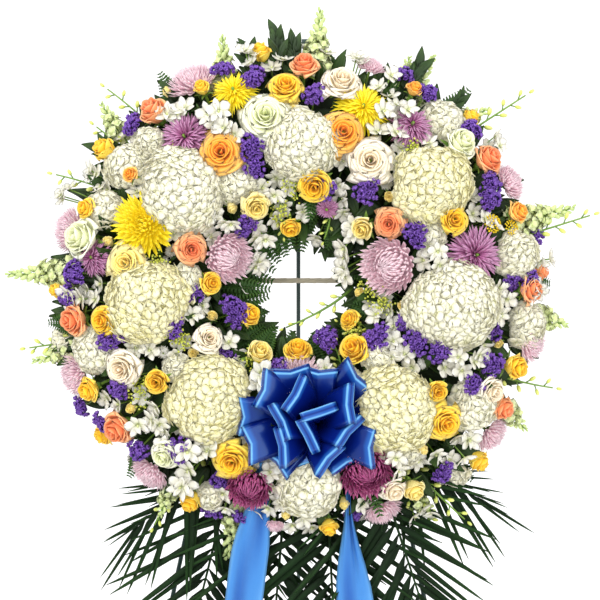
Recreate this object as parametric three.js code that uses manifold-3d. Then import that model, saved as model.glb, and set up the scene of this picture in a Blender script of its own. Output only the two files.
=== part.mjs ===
// A standing funeral wreath: cut flowers and leaves in a floral foam ring, with a ribbon bow,
// tied to a folding three-legged wire easel. Millimetres, +Z up, the flowers face -Y.
//
// Two sets of coordinates are used. The wreath and the easel's front legs lie in one plane that
// leans back. In that plane x runs to the right, "up" runs along the plane and "out" stands off
// it, towards whoever looks at the flowers. The back leg and the foot tips are set in the room.

import * as THREE from 'three';
import { mergeVertices } from 'three/addons/utils/BufferGeometryUtils.js';
import Module from 'manifold-3d';

// ---------------------------------------------------------------- driving dimensions

const CENTRE_HEIGHT = 1100; // wreath centre above the floor
const LEAN = THREE.MathUtils.degToRad(10); // front legs and wreath lean back from upright
const BACK_LEG_SPREAD = THREE.MathUtils.degToRad(18); // back leg from upright, standing
const GAP = 0.35; // room between pieces that touch

const ROD_RADIUS = 4; // easel rod
const APEX_UP = 430; // hinge bolt above the wreath centre, along the plane
const LEG_SLOPE = 0.216; // sideways run of a front leg for each unit down
const LEG_TOP_X = 11; // front leg's eye from the middle
const LEG_OUT = -14.8; // the front legs lie behind the wreath's back face
const EYE_RADIUS = 8.5;
const EYE_WIDTH = 10;
const BOLT_RADIUS = 3;
const NUT_RADIUS = 5.5; // bolt head and nut, from the middle to a corner
const NUT_WIDTH = 4.65;
const BOLT_BEYOND = 9; // how far the bolt runs past the outer eye
const ROUND = 20; // sides of a small round part that turns on another
const TIP_RADIUS = 9;
const TIP_DEPTH = 32; // how far a rubber tip reaches up its leg
const ROD_END_HEIGHT = 6; // cut end of a leg above the floor, inside its foot tip

const BAR_RADIUS = 5; // crossbar with its cloth-tape wrapping
const BAR_OUT = -BAR_RADIUS - GAP;
const CROSSBAR_UP = 17;
const CROSSBAR_HALF = 222;
const HOOK_X = 150;
const HOOK_REACH = 84; // how far a hook comes forward under the ring
const HOOK_TURN_UP = 26;

const RING_MIDDLE = 235; // radius of the foam ring's centre line
const FOAM_INNER = 190;
const FOAM_OUTER = 280;
const TRAY_WALL = 3;
const TRAY_RIM = 12;
const FOAM_BACK = TRAY_WALL + GAP;
const FOAM_FRONT = 58;

const ARCH_MIDDLE = 240; // radius at the crest of the bed of leaves
const ARCH_BACK = 20; // level of the arch's widest place
const BED_HALF_WIDTH = 140;
const BED_HEIGHT = 66;
const HEAD_HALF_WIDTH = 175; // the flower heads' middles lie on a wider arch
const HEAD_HEIGHT = 115;
const TILT_SHARE = 0.65; // how far a head turns from straight out towards square to the arch
const STEM_DEPTH = 34; // level in the foam at which the stems end

// ---------------------------------------------------------------- colours

const COLOURS = {
  hydrangea: 0xf3edd0,
  yellow: 0xf9cf3c,
  gold: 0xf7a83a,
  coral: 0xf08a5e,
  cream: 0xf3e6c8,
  greenWhite: 0xe7efc0,
  mauve: 0x9a4b8c,
  magenta: 0x8c1e64,
  lavender: 0xd3b6d4,
  lemon: 0xfbd60f,
  snapdragon: 0xdce4ae,
  orchid: 0xf1eee8,
  leaf: 0x2f4a24,
  palm: 0x1c3020,
  foam: 0x2f6b3a,
  tray: 0x1f4a2c,
  bow: 0x1544b8,
  tail: 0x5aa0e4,
  wire: 0x2b4a45,
  steel: 0x8f9896,
  wrapping: 0xc8bea8,
  rubber: 0x1c1c1c,
};

// ---------------------------------------------------------------- solids, joined and cut

const wasm = await Module();
wasm.setup();

/** Turns a closed geometry into a solid that can be joined and cut. */
function solidOf(geometry) {
  const bare = geometry.index ? geometry.toNonIndexed() : geometry.clone();
  bare.deleteAttribute('normal');
  bare.deleteAttribute('uv');
  const merged = mergeVertices(bare, 1e-4);
  return new wasm.Manifold(
    new wasm.Mesh({
      numProp: 3,
      vertProperties: merged.attributes.position.array,
      triVerts: merged.index.array,
    }),
  );
}

/** Turns a solid back into a geometry, keeping its largest piece. */
function geometryOf(solid) {
  const pieces = solid.decompose();
  pieces.sort((a, b) => b.volume() - a.volume());
  const mesh = pieces[0].getMesh();
  const geometry = new THREE.BufferGeometry();
  geometry.setAttribute('position', new THREE.BufferAttribute(new Float32Array(mesh.vertProperties), 3));
  geometry.setIndex(new THREE.BufferAttribute(new Uint32Array(mesh.triVerts), 1));
  geometry.computeVertexNormals();
  return geometry;
}

/** A turned solid about +Z from [radius, height] points, which run up the outside. */
function turned(points, segments) {
  const profile = points.map(([radius, height]) => new THREE.Vector2(radius, height));
  const geometry = new THREE.LatheGeometry(profile, segments);
  geometry.rotateX(Math.PI / 2);
  return geometry;
}

/** A round rod between two points. */
function rod(from, to, radius, segments = 10) {
  const along = new THREE.Vector3().subVectors(to, from);
  const geometry = new THREE.CylinderGeometry(radius, radius, along.length(), segments);
  geometry.rotateX(Math.PI / 2);
  geometry.translate(0, 0, along.length() / 2);
  const turn = new THREE.Quaternion().setFromUnitVectors(new THREE.Vector3(0, 0, 1), along.normalize());
  geometry.applyQuaternion(turn);
  geometry.translate(from.x, from.y, from.z);
  return geometry;
}

/** A rod bent along a smooth line through the points. */
function bentRod(points, radius, steps) {
  const section = new THREE.Shape();
  section.absarc(0, 0, radius, 0, Math.PI * 2);
  return new THREE.ExtrudeGeometry(section, {
    extrudePath: new THREE.CatmullRomCurve3(points),
    steps,
    curveSegments: 4, // an eight-sided section
    bevelEnabled: false,
  });
}

/** A point of the leaning plane: x across, up along the plane, out towards the viewer. */
function inPlane(x, up, out) {
  return new THREE.Vector3(x, -out, up);
}

/** A point on the wreath's face by the hour on a clock, distance from the middle, and level. */
function onFace(hour, away, out) {
  const angle = (hour / 12) * Math.PI * 2;
  return inPlane(away * Math.sin(angle), away * Math.cos(angle), out);
}

// ---------------------------------------------------------------- the model's two groups

const wreath = new THREE.Group();
wreath.name = 'funeral_wreath_on_easel';
const leaning = new THREE.Group();
leaning.position.set(0, 0, CENTRE_HEIGHT);
leaning.rotation.x = -LEAN;
leaning.updateMatrix();
const room = new THREE.Group();
wreath.add(leaning, room);

/** Adds one named piece to a group. */
function addPiece(group, name, geometry, color, roughness, metalness = 0) {
  const material = new THREE.MeshStandardMaterial({ color, roughness, metalness });
  const mesh = new THREE.Mesh(geometry, material);
  mesh.name = name;
  group.add(mesh);
}

// ---------------------------------------------------------------- easel

const apex = inPlane(0, APEX_UP, LEG_OUT);
const lowerBarUp = -Math.sqrt((FOAM_OUTER + TRAY_WALL + ROD_RADIUS + 2 * GAP) ** 2 - HOOK_X ** 2);

/** The point on a front leg's centre line at a level along the plane; side is -1 or 1. */
function onFrontLeg(side, up) {
  return inPlane(side * (LEG_TOP_X + LEG_SLOPE * (APEX_UP - up)), up, LEG_OUT);
}

/** Level along the plane at which the front legs' centre lines are this high above the floor. */
function legLevelAt(height) {
  return (height - CENTRE_HEIGHT - LEG_OUT * Math.sin(LEAN)) / Math.cos(LEAN);
}

/** A leg: a rod with an eye at its top for the hinge bolt. */
function legWithEye(top, foot) {
  const half = new THREE.Vector3(EYE_WIDTH / 2, 0, 0);
  const eye = rod(top.clone().sub(half), top.clone().add(half), EYE_RADIUS, ROUND);
  const left = top.clone().addScaledVector(half, -2);
  const right = top.clone().addScaledVector(half, 2);
  const hole = rod(left, right, BOLT_RADIUS + GAP, ROUND);
  return solidOf(rod(top, foot, ROD_RADIUS)).add(solidOf(eye)).subtract(solidOf(hole));
}

/** A rubber tip round a leg's end, with a blind hole for the rod and a flat underside. */
function footTip(top, foot) {
  const along = new THREE.Vector3().subVectors(foot, top).normalize();
  const beyond = foot.clone().addScaledVector(along, TIP_DEPTH);
  const mouth = foot.clone().addScaledVector(along, -TIP_DEPTH);
  const above = foot.clone().addScaledVector(along, -2 * TIP_DEPTH);
  const belowFloor = new THREE.BoxGeometry(200, 200, 100);
  belowFloor.translate(foot.x, foot.y, -50);
  const seat = foot.clone().addScaledVector(along, GAP);
  return solidOf(rod(mouth, beyond, TIP_RADIUS, 16))
    .subtract(solidOf(belowFloor))
    .subtract(solidOf(rod(above, seat, ROD_RADIUS + GAP)));
}

for (const [label, side] of [['left', -1], ['right', 1]]) {
  const eyeCentre = inPlane(side * LEG_TOP_X, APEX_UP, LEG_OUT);
  const foot = onFrontLeg(side, legLevelAt(ROD_END_HEIGHT));
  const leg = legWithEye(eyeCentre, foot);
  addPiece(leaning, `easel_leg_${label}`, geometryOf(leg), COLOURS.wire, 0.45, 0.4);
  const [top, bottom] = [eyeCentre, foot].map((point) => point.clone().applyMatrix4(leaning.matrix));
  const tip = footTip(top, bottom);
  addPiece(room, `foot_tip_${label}`, geometryOf(tip), COLOURS.rubber, 0.8);
}

const backTop = apex.clone().applyMatrix4(leaning.matrix);
const backRun = backTop.z - ROD_END_HEIGHT;
const backFoot = new THREE.Vector3(0, backTop.y + backRun * Math.tan(BACK_LEG_SPREAD), ROD_END_HEIGHT);
const backLeg = legWithEye(backTop, backFoot);
addPiece(room, 'easel_back_leg', geometryOf(backLeg), COLOURS.wire, 0.45, 0.4);
addPiece(room, 'foot_tip_back', geometryOf(footTip(backTop, backFoot)), COLOURS.rubber, 0.8);

/** A rod along the hinge's axis from one place across to another. */
function onHinge(from, to, radius, segments) {
  return solidOf(rod(inPlane(from, APEX_UP, LEG_OUT), inPlane(to, APEX_UP, LEG_OUT), radius, segments));
}

// The bolt runs through the three eyes; its head is on the left and a nut on the right.
const eyesHalf = LEG_TOP_X + EYE_WIDTH / 2;
const boltHead = onHinge(-eyesHalf - GAP - NUT_WIDTH, -eyesHalf - GAP, NUT_RADIUS, 6);
const bolt = onHinge(-eyesHalf - 1, eyesHalf + BOLT_BEYOND, BOLT_RADIUS, ROUND).add(boltHead);
addPiece(leaning, 'hinge_bolt', geometryOf(bolt), COLOURS.steel, 0.35, 0.9);
const nutHole = onHinge(eyesHalf - NUT_WIDTH, eyesHalf + 3 * NUT_WIDTH, BOLT_RADIUS + GAP, ROUND);
const nut = onHinge(eyesHalf + GAP, eyesHalf + GAP + NUT_WIDTH, NUT_RADIUS, 6).subtract(nutHole);
addPiece(leaning, 'hinge_nut', geometryOf(nut), COLOURS.steel, 0.35, 0.9);

/** The U-shaped stop welded behind the front legs, which the open back leg leans against. */
function stopPlate() {
  const below = 26;
  const height = 10;
  const plate = 3;
  const half = LEG_TOP_X + LEG_SLOPE * below + ROD_RADIUS;
  const depthAtFoot = (below + height) * Math.tan(BACK_LEG_SPREAD + LEAN);
  const inner = depthAtFoot + ROD_RADIUS / Math.cos(BACK_LEG_SPREAD + LEAN) + GAP;
  const front = ROD_RADIUS + GAP;
  const outline = new THREE.Shape();
  outline.moveTo(-half, front);
  outline.lineTo(-half, inner + plate);
  outline.lineTo(half, inner + plate);
  outline.lineTo(half, front);
  outline.lineTo(half - plate, front);
  outline.lineTo(half - plate, inner);
  outline.lineTo(plate - half, inner);
  outline.lineTo(plate - half, front);
  outline.closePath();
  const geometry = new THREE.ExtrudeGeometry(outline, { depth: height, bevelEnabled: false });
  geometry.translate(0, -LEG_OUT, APEX_UP - below - height);
  return geometry;
}
addPiece(leaning, 'leg_stop', stopPlate(), COLOURS.wire, 0.45, 0.4);

/** A level bar behind the ring, from its half length, its level and its radius. */
function bar(half, up, radius) {
  return rod(inPlane(-half, up, BAR_OUT), inPlane(half, up, BAR_OUT), radius);
}
const crossbar = bar(CROSSBAR_HALF, CROSSBAR_UP, BAR_RADIUS);
addPiece(leaning, 'wrapped_crossbar', crossbar, COLOURS.wrapping, 0.9);
const lowerBar = bar(HOOK_X + ROD_RADIUS + 2, lowerBarUp, ROD_RADIUS);
addPiece(leaning, 'lower_bar', lowerBar, COLOURS.wire, 0.45, 0.4);

/** A hook: forward from the lower bar, under the ring, then up in front of it. */
function hook(side, grow = 0) {
  const x = side * HOOK_X;
  const bend = HOOK_REACH - 10;
  const points = [
    inPlane(x, lowerBarUp, BAR_OUT + ROD_RADIUS + GAP),
    inPlane(x, lowerBarUp, bend / 2),
    inPlane(x, lowerBarUp, bend),
    inPlane(x, lowerBarUp + 7, HOOK_REACH - 2),
    inPlane(x, lowerBarUp + HOOK_TURN_UP + grow, HOOK_REACH),
  ];
  return bentRod(points, ROD_RADIUS + grow, 10);
}
for (const [label, side] of [['left', -1], ['right', 1]]) {
  addPiece(leaning, `hook_${label}`, hook(side), COLOURS.wire, 0.45, 0.4);
}

// ---------------------------------------------------------------- where the flowers go

// Kinds of head: the stem's radius, how far the head stands proud of the arch, its height for
// each unit of radius, and its outline as [share of radius, share of height] from the base up.
const KINDS = {
  dome: {
    stem: 4,
    lift: 0,
    depth: 1.04,
    outline: [[0.62, 0], [0.92, 0.16], [1, 0.42], [0.86, 0.74], [0.5, 0.95]],
  },
  cup: {
    stem: 3,
    lift: 24,
    depth: 1.38,
    outline: [[0.5, 0], [0.86, 0.28], [1, 0.66], [0.82, 0.94], [0.4, 1]],
  },
  daisy: {
    stem: 3,
    lift: 16,
    depth: 0.86,
    outline: [[0.3, 0], [0.8, 0.3], [1, 0.66], [0.84, 0.88], [0.4, 1]],
  },
};
const SMALL_HEAD = 55; // a head of less than this radius is turned with fewer sides

// The planting plan. hour is the place on a clock face, away the distance from the middle.
const FLOWERS = [
  { name: 'hydrangea_1', kind: 'dome', hour: 12.05, away: 240, radius: 70, color: 'hydrangea' },
  { name: 'hydrangea_2', kind: 'dome', hour: 1.78, away: 288, radius: 78, color: 'hydrangea' },
  { name: 'hydrangea_3', kind: 'dome', hour: 3.2, away: 255, radius: 86, color: 'hydrangea' },
  { name: 'hydrangea_4', kind: 'dome', hour: 4.68, away: 254, radius: 78, color: 'hydrangea' },
  { name: 'hydrangea_5', kind: 'dome', hour: 5.9, away: 335, radius: 62, color: 'hydrangea' },
  { name: 'hydrangea_6', kind: 'dome', hour: 7.32, away: 233, radius: 79, color: 'hydrangea' },
  { name: 'hydrangea_7', kind: 'dome', hour: 8.85, away: 248, radius: 80, color: 'hydrangea' },
  { name: 'hydrangea_8', kind: 'dome', hour: 10.35, away: 250, radius: 79, color: 'hydrangea' },
  { name: 'spider_mum_yellow', kind: 'daisy', hour: 9.76, away: 277, radius: 49, color: 'lemon' },
  { name: 'mum_lavender_left', kind: 'daisy', hour: 9.83, away: 123, radius: 46, color: 'lavender' },
  { name: 'mum_lavender_right', kind: 'daisy', hour: 2.5, away: 146, radius: 51, color: 'lavender' },
  { name: 'mum_lilac_low', kind: 'daisy', hour: 6.0, away: 146, radius: 42, color: 'lavender' },
  { name: 'mum_mauve_right', kind: 'daisy', hour: 2.65, away: 300, radius: 50, color: 'mauve' },
  { name: 'mum_mauve_top', kind: 'daisy', hour: 10.77, away: 316, radius: 47, color: 'mauve' },
  { name: 'mum_magenta_left', kind: 'daisy', hour: 6.46, away: 336, radius: 38, color: 'magenta' },
  { name: 'mum_magenta_right', kind: 'daisy', hour: 5.32, away: 321, radius: 44, color: 'magenta' },
  { name: 'rose_white', kind: 'cup', hour: 11.65, away: 288, radius: 43, color: 'greenWhite' },
  { name: 'rose_golden', kind: 'cup', hour: 0.53, away: 267, radius: 37, color: 'gold' },
  { name: 'rose_cream', kind: 'cup', hour: 0.97, away: 242, radius: 38, color: 'cream' },
  { name: 'rose_amber', kind: 'cup', hour: 11.02, away: 258, radius: 36, color: 'gold' },
  { name: 'rose_yellow_top', kind: 'cup', hour: 11.88, away: 335, radius: 32, color: 'yellow' },
  { name: 'rose_yellow_left', kind: 'cup', hour: 9.29, away: 284, radius: 34, color: 'yellow' },
  { name: 'rose_orange', kind: 'cup', hour: 9.69, away: 188, radius: 28, color: 'coral' },
  { name: 'rose_coral', kind: 'cup', hour: 1.8, away: 185, radius: 27, color: 'coral' },
  { name: 'rose_gold_right', kind: 'cup', hour: 4.4, away: 325, radius: 34, color: 'yellow' },
  { name: 'rose_gold_left', kind: 'cup', hour: 6.71, away: 300, radius: 35, color: 'yellow' },
];

// Spikes of flowers that stand out past the edge: from and to are distances from the middle,
// and end is the tip's hour where the spike leans along the ring.
const SPIKES = [
  { name: 'snapdragon_top', hour: 0.15, end: 0.15, from: 385, to: 481, out: 42, tipOut: 40, radius: 17 },
  { name: 'snapdragon_left', hour: 9.25, end: 9.1, from: 400, to: 497, out: 40, tipOut: 46, radius: 17 },
  { name: 'snapdragon_right', hour: 2.35, end: 2.45, from: 410, to: 489, out: 46, tipOut: 60, radius: 15 },
  { name: 'snapdragon_low', hour: 6.55, end: 6.5, from: 390, to: 478, out: 40, tipOut: 30, radius: 16 },
  { name: 'orchid_buds_right', hour: 2.62, end: 2.52, from: 418, to: 510, out: 44, tipOut: 62, radius: 8 },
  { name: 'orchid_buds_high', hour: 1.4, end: 1.65, from: 400, to: 506, out: 44, tipOut: 66, radius: 8 },
  { name: 'orchid_buds_left', hour: 8.5, end: 8.6, from: 405, to: 468, out: 40, tipOut: 48, radius: 8 },
];

// Palm fronds behind the lower flowers: root and tip as [x, up] in the plane, and their layer.
const FRONDS = [
  { name: 'palm_frond_1', root: [-130, -325], tip: [-225, -760], width: 280, out: 20 },
  { name: 'palm_frond_2', root: [-20, -345], tip: [-60, -790], width: 250, out: 31 },
  { name: 'palm_frond_3', root: [60, -340], tip: [70, -770], width: 250, out: 42 },
  { name: 'palm_frond_4', root: [150, -310], tip: [270, -720], width: 280, out: 53 },
  { name: 'palm_frond_5', root: [-100, -318], tip: [-355, -462], width: 150, out: 31 },
  { name: 'palm_frond_6', root: [128, -302], tip: [388, -398], width: 150, out: 42 },
];

/** Level of the arch on which the flower heads' middles lie, at a distance from the middle. */
function headLevel(away) {
  const share = Math.min(Math.abs(away - ARCH_MIDDLE) / HEAD_HALF_WIDTH, 1);
  return ARCH_BACK + HEAD_HEIGHT * Math.sqrt(1 - share * share);
}

/** Where a stem that starts above this place enters the foam. */
function foamPoint(hour, away) {
  return onFace(hour, RING_MIDDLE + (away - ARCH_MIDDLE) * 0.2, STEM_DEPTH);
}

/** The head's middle and the way it faces: part way between straight out and off the arch. */
function headSeat(flower) {
  const level = headLevel(flower.away);
  const centre = onFace(flower.hour, flower.away, level + KINDS[flower.kind].lift);
  const tilt = TILT_SHARE * Math.atan2(flower.away - ARCH_MIDDLE, level - ARCH_BACK);
  const facing = onFace(flower.hour, Math.sin(tilt), Math.cos(tilt)).normalize();
  return { centre, facing };
}

/** A flower head on its stem; grow makes it larger all round, for cutting its neighbours. */
function flowerSolid(flower, grow = 0) {
  const { centre, facing } = headSeat(flower);
  const { stem, depth, outline } = KINDS[flower.kind];
  const height = depth * flower.radius;
  const points = [[0, -grow]];
  for (const [across, up] of outline) {
    points.push([across * flower.radius + grow, up * height + (2 * up - 1) * grow]);
  }
  points.push([0, height + grow]);
  const head = turned(points, flower.radius < SMALL_HEAD ? 10 : 14);
  head.translate(0, 0, -height / 2);
  head.applyQuaternion(new THREE.Quaternion().setFromUnitVectors(new THREE.Vector3(0, 0, 1), facing));
  head.translate(centre.x, centre.y, centre.z);
  const stemEnd = foamPoint(flower.hour, flower.away);
  const inwards = new THREE.Vector3().subVectors(stemEnd, centre).normalize();
  const beyond = stemEnd.clone().addScaledVector(inwards, grow);
  return solidOf(head).add(solidOf(rod(centre, beyond, stem + grow, 6)));
}

/** A spike: a slim spindle beyond the edge of the leaves, on a stem into the foam. */
function spikeSolid(spike, grow = 0) {
  const base = onFace(spike.hour, spike.from, spike.out);
  const tip = onFace(spike.end, spike.to, spike.tipOut);
  const along = new THREE.Vector3().subVectors(tip, base);
  const length = along.length();
  const radius = spike.radius + grow;
  const points = [[0, -grow], [radius * 0.6, -grow], [radius, length * 0.25], [radius * 0.7, length * 0.7]];
  points.push([1.5 + grow, length + grow], [0, length + grow]);
  const spindle = turned(points, 10);
  along.normalize();
  spindle.applyQuaternion(new THREE.Quaternion().setFromUnitVectors(new THREE.Vector3(0, 0, 1), along));
  spindle.translate(base.x, base.y, base.z);
  const stemEnd = onFace(spike.hour, FOAM_OUTER - 22, 44);
  const inwards = new THREE.Vector3().subVectors(stemEnd, base).normalize();
  const start = base.clone().addScaledVector(inwards, -2);
  return solidOf(spindle).add(solidOf(rod(start, stemEnd.addScaledVector(inwards, grow), 2.5 + grow, 6)));
}

/** A palm frond as a thin leaf-shaped blade on a stalk that enters the foam's edge. */
function frondSolid(frond, grow = 0) {
  const root = new THREE.Vector2(...frond.root);
  const tip = new THREE.Vector2(...frond.tip);
  const length = root.distanceTo(tip);
  const half = frond.width / 2;
  const outline = new THREE.Shape();
  outline.moveTo(-4 - grow, -grow);
  outline.bezierCurveTo(-half * 1.1, length * 0.1, -half * 1.2, length * 0.6, -3 - grow, length + grow);
  outline.lineTo(3 + grow, length + grow);
  outline.bezierCurveTo(half * 1.2, length * 0.6, half * 1.1, length * 0.1, 4 + grow, -grow);
  outline.closePath();
  const thickness = 4 + 2 * grow;
  const flat = { depth: thickness, bevelEnabled: false, curveSegments: 10 };
  const blade = new THREE.ExtrudeGeometry(outline, flat);
  blade.translate(0, 0, -thickness / 2);
  blade.rotateX(Math.PI / 2);
  const turn = Math.atan2(root.x - tip.x, tip.y - root.y);
  blade.rotateY(-turn);
  blade.translate(root.x, -frond.out, root.y);
  const inner = root.clone().setLength(FOAM_OUTER - 20 - grow);
  const towardsTip = tip.clone().sub(root).setLength(12);
  const start = inPlane(root.x + towardsTip.x, root.y + towardsTip.y, frond.out);
  return solidOf(blade).add(solidOf(rod(start, inPlane(inner.x, inner.y, frond.out), 3 + grow, 8)));
}

// ---------------------------------------------------------------- bow and its tails

const BOW = { hour: 5.78, away: 222, out: 172, wide: 108, tall: 82, deep: 44 };

/** The bow's outline as one rounded solid, wired to a pick that stands in the foam. */
function bowSolid(grow = 0) {
  const centre = onFace(BOW.hour, BOW.away, BOW.out);
  const body = new THREE.SphereGeometry(1, 20, 12);
  body.scale(BOW.wide + grow, BOW.deep + grow, BOW.tall + grow);
  body.translate(centre.x, centre.y, centre.z);
  const end = onFace(BOW.hour, RING_MIDDLE, STEM_DEPTH - grow);
  return solidOf(body).add(solidOf(rod(centre, end, 3 + grow, 8)));
}

const RIBBON_WIDTH = 64;
const TAIL_THICKNESS = 2;

// The tails' side view as [up, out] points, from under the bow down to the cut ends. opens is
// the part of the length over which a tail widens from its gathered top to the full ribbon.
const TAIL_PATH = [
  [-285, 132],
  [-312, 100],
  [-345, 94],
  [-385, 92],
  [-450, 84],
  [-560, 72],
  [-690, 66],
  [-820, 50],
];
const TAILS = [
  { name: 'ribbon_tail_left', top: -51, bottom: -142, narrow: 34, opens: [0.08, 0.3] },
  { name: 'ribbon_tail_right', top: 83, bottom: 112, narrow: 10, opens: [0.12, 0.46] },
];

/** A ribbon tail: a thin strip that is gathered at the top and full width lower down. */
function tailSolid(tail, thickness) {
  const steps = 22;
  const side = new THREE.SplineCurve(TAIL_PATH.map(([up, out]) => new THREE.Vector2(out, up)));
  const front = [];
  const back = [];
  for (let i = 0; i <= steps; i += 1) {
    const point = side.getPoint(i / steps);
    const tangent = side.getTangent(i / steps);
    const offset = new THREE.Vector2(tangent.y, -tangent.x).multiplyScalar(thickness / 2);
    front.push(point.clone().add(offset));
    back.push(point.clone().sub(offset));
  }
  const outline = new THREE.Shape([...front, ...back.reverse()]);
  const strip = new THREE.ExtrudeGeometry(outline, { depth: 1, bevelEnabled: false, steps: 2 });
  const spots = strip.attributes.position;
  const [topUp, endUp] = [TAIL_PATH[0][0], TAIL_PATH[TAIL_PATH.length - 1][0]];
  for (let i = 0; i < spots.count; i += 1) {
    const [out, up, across] = [spots.getX(i), spots.getY(i), spots.getZ(i)];
    const down = (topUp - up) / (topUp - endUp);
    const opening = THREE.MathUtils.smoothstep(down, ...tail.opens);
    const extra = 2 * (thickness - TAIL_THICKNESS);
    const width = tail.narrow + (RIBBON_WIDTH - tail.narrow) * opening + extra;
    const middle = tail.top + (tail.bottom - tail.top) * down;
    spots.setXYZ(i, middle + (0.5 - across) * width, -out, up);
  }
  return solidOf(strip);
}

// ---------------------------------------------------------------- flowers, pressed together

const placed = [];

/** Keeps a solid and its slightly larger twin, after cutting it back from what stands there. */
function place(name, solid, cutter, color, roughness) {
  let fitted = solid;
  for (const other of placed) {
    fitted = fitted.subtract(other.cutter);
  }
  placed.push({ name, solid: fitted, cutter, color, roughness });
}

const hookCutters = [-1, 1].map((side) => solidOf(hook(side, 2 * GAP)));
place('bow', bowSolid(), bowSolid(GAP), COLOURS.bow, 0.35);
for (const flower of FLOWERS) {
  place(flower.name, flowerSolid(flower), flowerSolid(flower, GAP), COLOURS[flower.color], 0.75);
}
for (const spike of SPIKES) {
  const color = spike.name.startsWith('orchid') ? COLOURS.orchid : COLOURS.snapdragon;
  place(spike.name, spikeSolid(spike), spikeSolid(spike, GAP), color, 0.7);
}
for (const frond of FRONDS) {
  place(frond.name, frondSolid(frond), frondSolid(frond, GAP), COLOURS.palm, 0.5);
}
for (const tail of TAILS) {
  const strip = tailSolid(tail, TAIL_THICKNESS);
  place(tail.name, strip, tailSolid(tail, TAIL_THICKNESS + 2 * GAP), COLOURS.tail, 0.3);
}
for (const piece of placed) {
  const solid = hookCutters.reduce((rest, cutter) => rest.subtract(cutter), piece.solid);
  addPiece(leaning, piece.name, geometryOf(solid), piece.color, piece.roughness);
}

// ---------------------------------------------------------------- wires that tie the ring on

const TIE_REACH = 11; // how far the loop stands from the crossbar's axis
const TIE_WIRE = 0.8;

/** A closed loop of tying wire round the crossbar and through the tray and the foam. */
function tieWire(side, grow = 0) {
  const loop = new THREE.TorusGeometry(TIE_REACH, TIE_WIRE + grow, 6, 18);
  loop.rotateY(Math.PI / 2);
  loop.translate(side * (CROSSBAR_HALF - 14), -BAR_OUT, CROSSBAR_UP);
  return loop;
}
for (const [label, side] of [['left', -1], ['right', 1]]) {
  addPiece(leaning, `tie_wire_${label}`, tieWire(side), COLOURS.steel, 0.4, 0.9);
}
const tieCutters = [-1, 1].map((side) => solidOf(tieWire(side, GAP)));

// ---------------------------------------------------------------- foam ring, tray and leaves

/** A ring about the wreath's middle from a closed [radius, out] outline. */
function ring(points, segments = 36) {
  const closed = [...points, points[0]];
  const geometry = turned(closed, segments);
  geometry.rotateX(Math.PI / 2);
  return geometry;
}

/** Cuts every planted stem, and any other given solid, out of a base piece. */
function cutOut(solid, others = []) {
  const cutters = [...placed.map((piece) => piece.cutter), ...others];
  return cutters.reduce((rest, cutter) => rest.subtract(cutter), solid);
}

const foam = ring([
  [FOAM_INNER, FOAM_BACK],
  [FOAM_OUTER, FOAM_BACK],
  [FOAM_OUTER, FOAM_FRONT - 14],
  [FOAM_OUTER - 14, FOAM_FRONT],
  [FOAM_INNER + 14, FOAM_FRONT],
  [FOAM_INNER, FOAM_FRONT - 14],
]);
addPiece(leaning, 'foam_ring', geometryOf(cutOut(solidOf(foam), tieCutters)), COLOURS.foam, 0.95);

const trayInner = FOAM_INNER - GAP;
const trayOuter = FOAM_OUTER + GAP;
const tray = ring([
  [trayInner - TRAY_WALL, 0],
  [trayOuter + TRAY_WALL, 0],
  [trayOuter + TRAY_WALL, TRAY_RIM],
  [trayOuter, TRAY_RIM],
  [trayOuter, TRAY_WALL],
  [trayInner, TRAY_WALL],
  [trayInner, TRAY_RIM],
  [trayInner - TRAY_WALL, TRAY_RIM],
]);
const drilledTray = tieCutters.reduce((rest, cutter) => rest.subtract(cutter), solidOf(tray));
addPiece(leaning, 'ring_tray', geometryOf(drilledTray), COLOURS.tray, 0.5);

/** The bed of leaves: an arch-shaped ring over the foam, open at the back for it. */
function bedOutline() {
  const points = [];
  const arcSteps = 8;
  for (let i = 0; i <= arcSteps; i += 1) {
    const angle = Math.PI * (1 - i / arcSteps);
    const away = ARCH_MIDDLE + BED_HALF_WIDTH * Math.cos(angle);
    points.push([away, ARCH_BACK + BED_HEIGHT * Math.sin(angle)]);
  }
  const room = TRAY_WALL + 2 * GAP;
  points.push(
    [ARCH_MIDDLE + BED_HALF_WIDTH - 20, 4],
    [FOAM_OUTER + room, 4],
    [FOAM_OUTER + room, FOAM_FRONT + GAP],
    [FOAM_INNER - room, FOAM_FRONT + GAP],
    [FOAM_INNER - room, 4],
    [ARCH_MIDDLE - BED_HALF_WIDTH + 20, 4],
  );
  return points.reverse();
}
const bed = cutOut(solidOf(ring(bedOutline())), hookCutters);
addPiece(leaning, 'leaf_bed', geometryOf(bed), COLOURS.leaf, 0.85);

// ---------------------------------------------------------------- stand it on its own middle

wreath.updateMatrixWorld(true);
const extent = new THREE.Box3().setFromObject(wreath, true);
wreath.position.set(-(extent.min.x + extent.max.x) / 2, -(extent.min.y + extent.max.y) / 2, -extent.min.z);
wreath.updateMatrixWorld(true);

export default wreath;
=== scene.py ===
"""A standing funeral wreath of cut flowers on a folding wire easel, dressed round its frame.

Lengths in the planting plan are millimetres; everything that reaches Blender is in metres.
Flowers are worked out in the ring's own plane: x across, y up along the plane, z out of it.
"""

import logging
import math
from dataclasses import dataclass, field, replace
from enum import Enum

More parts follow.
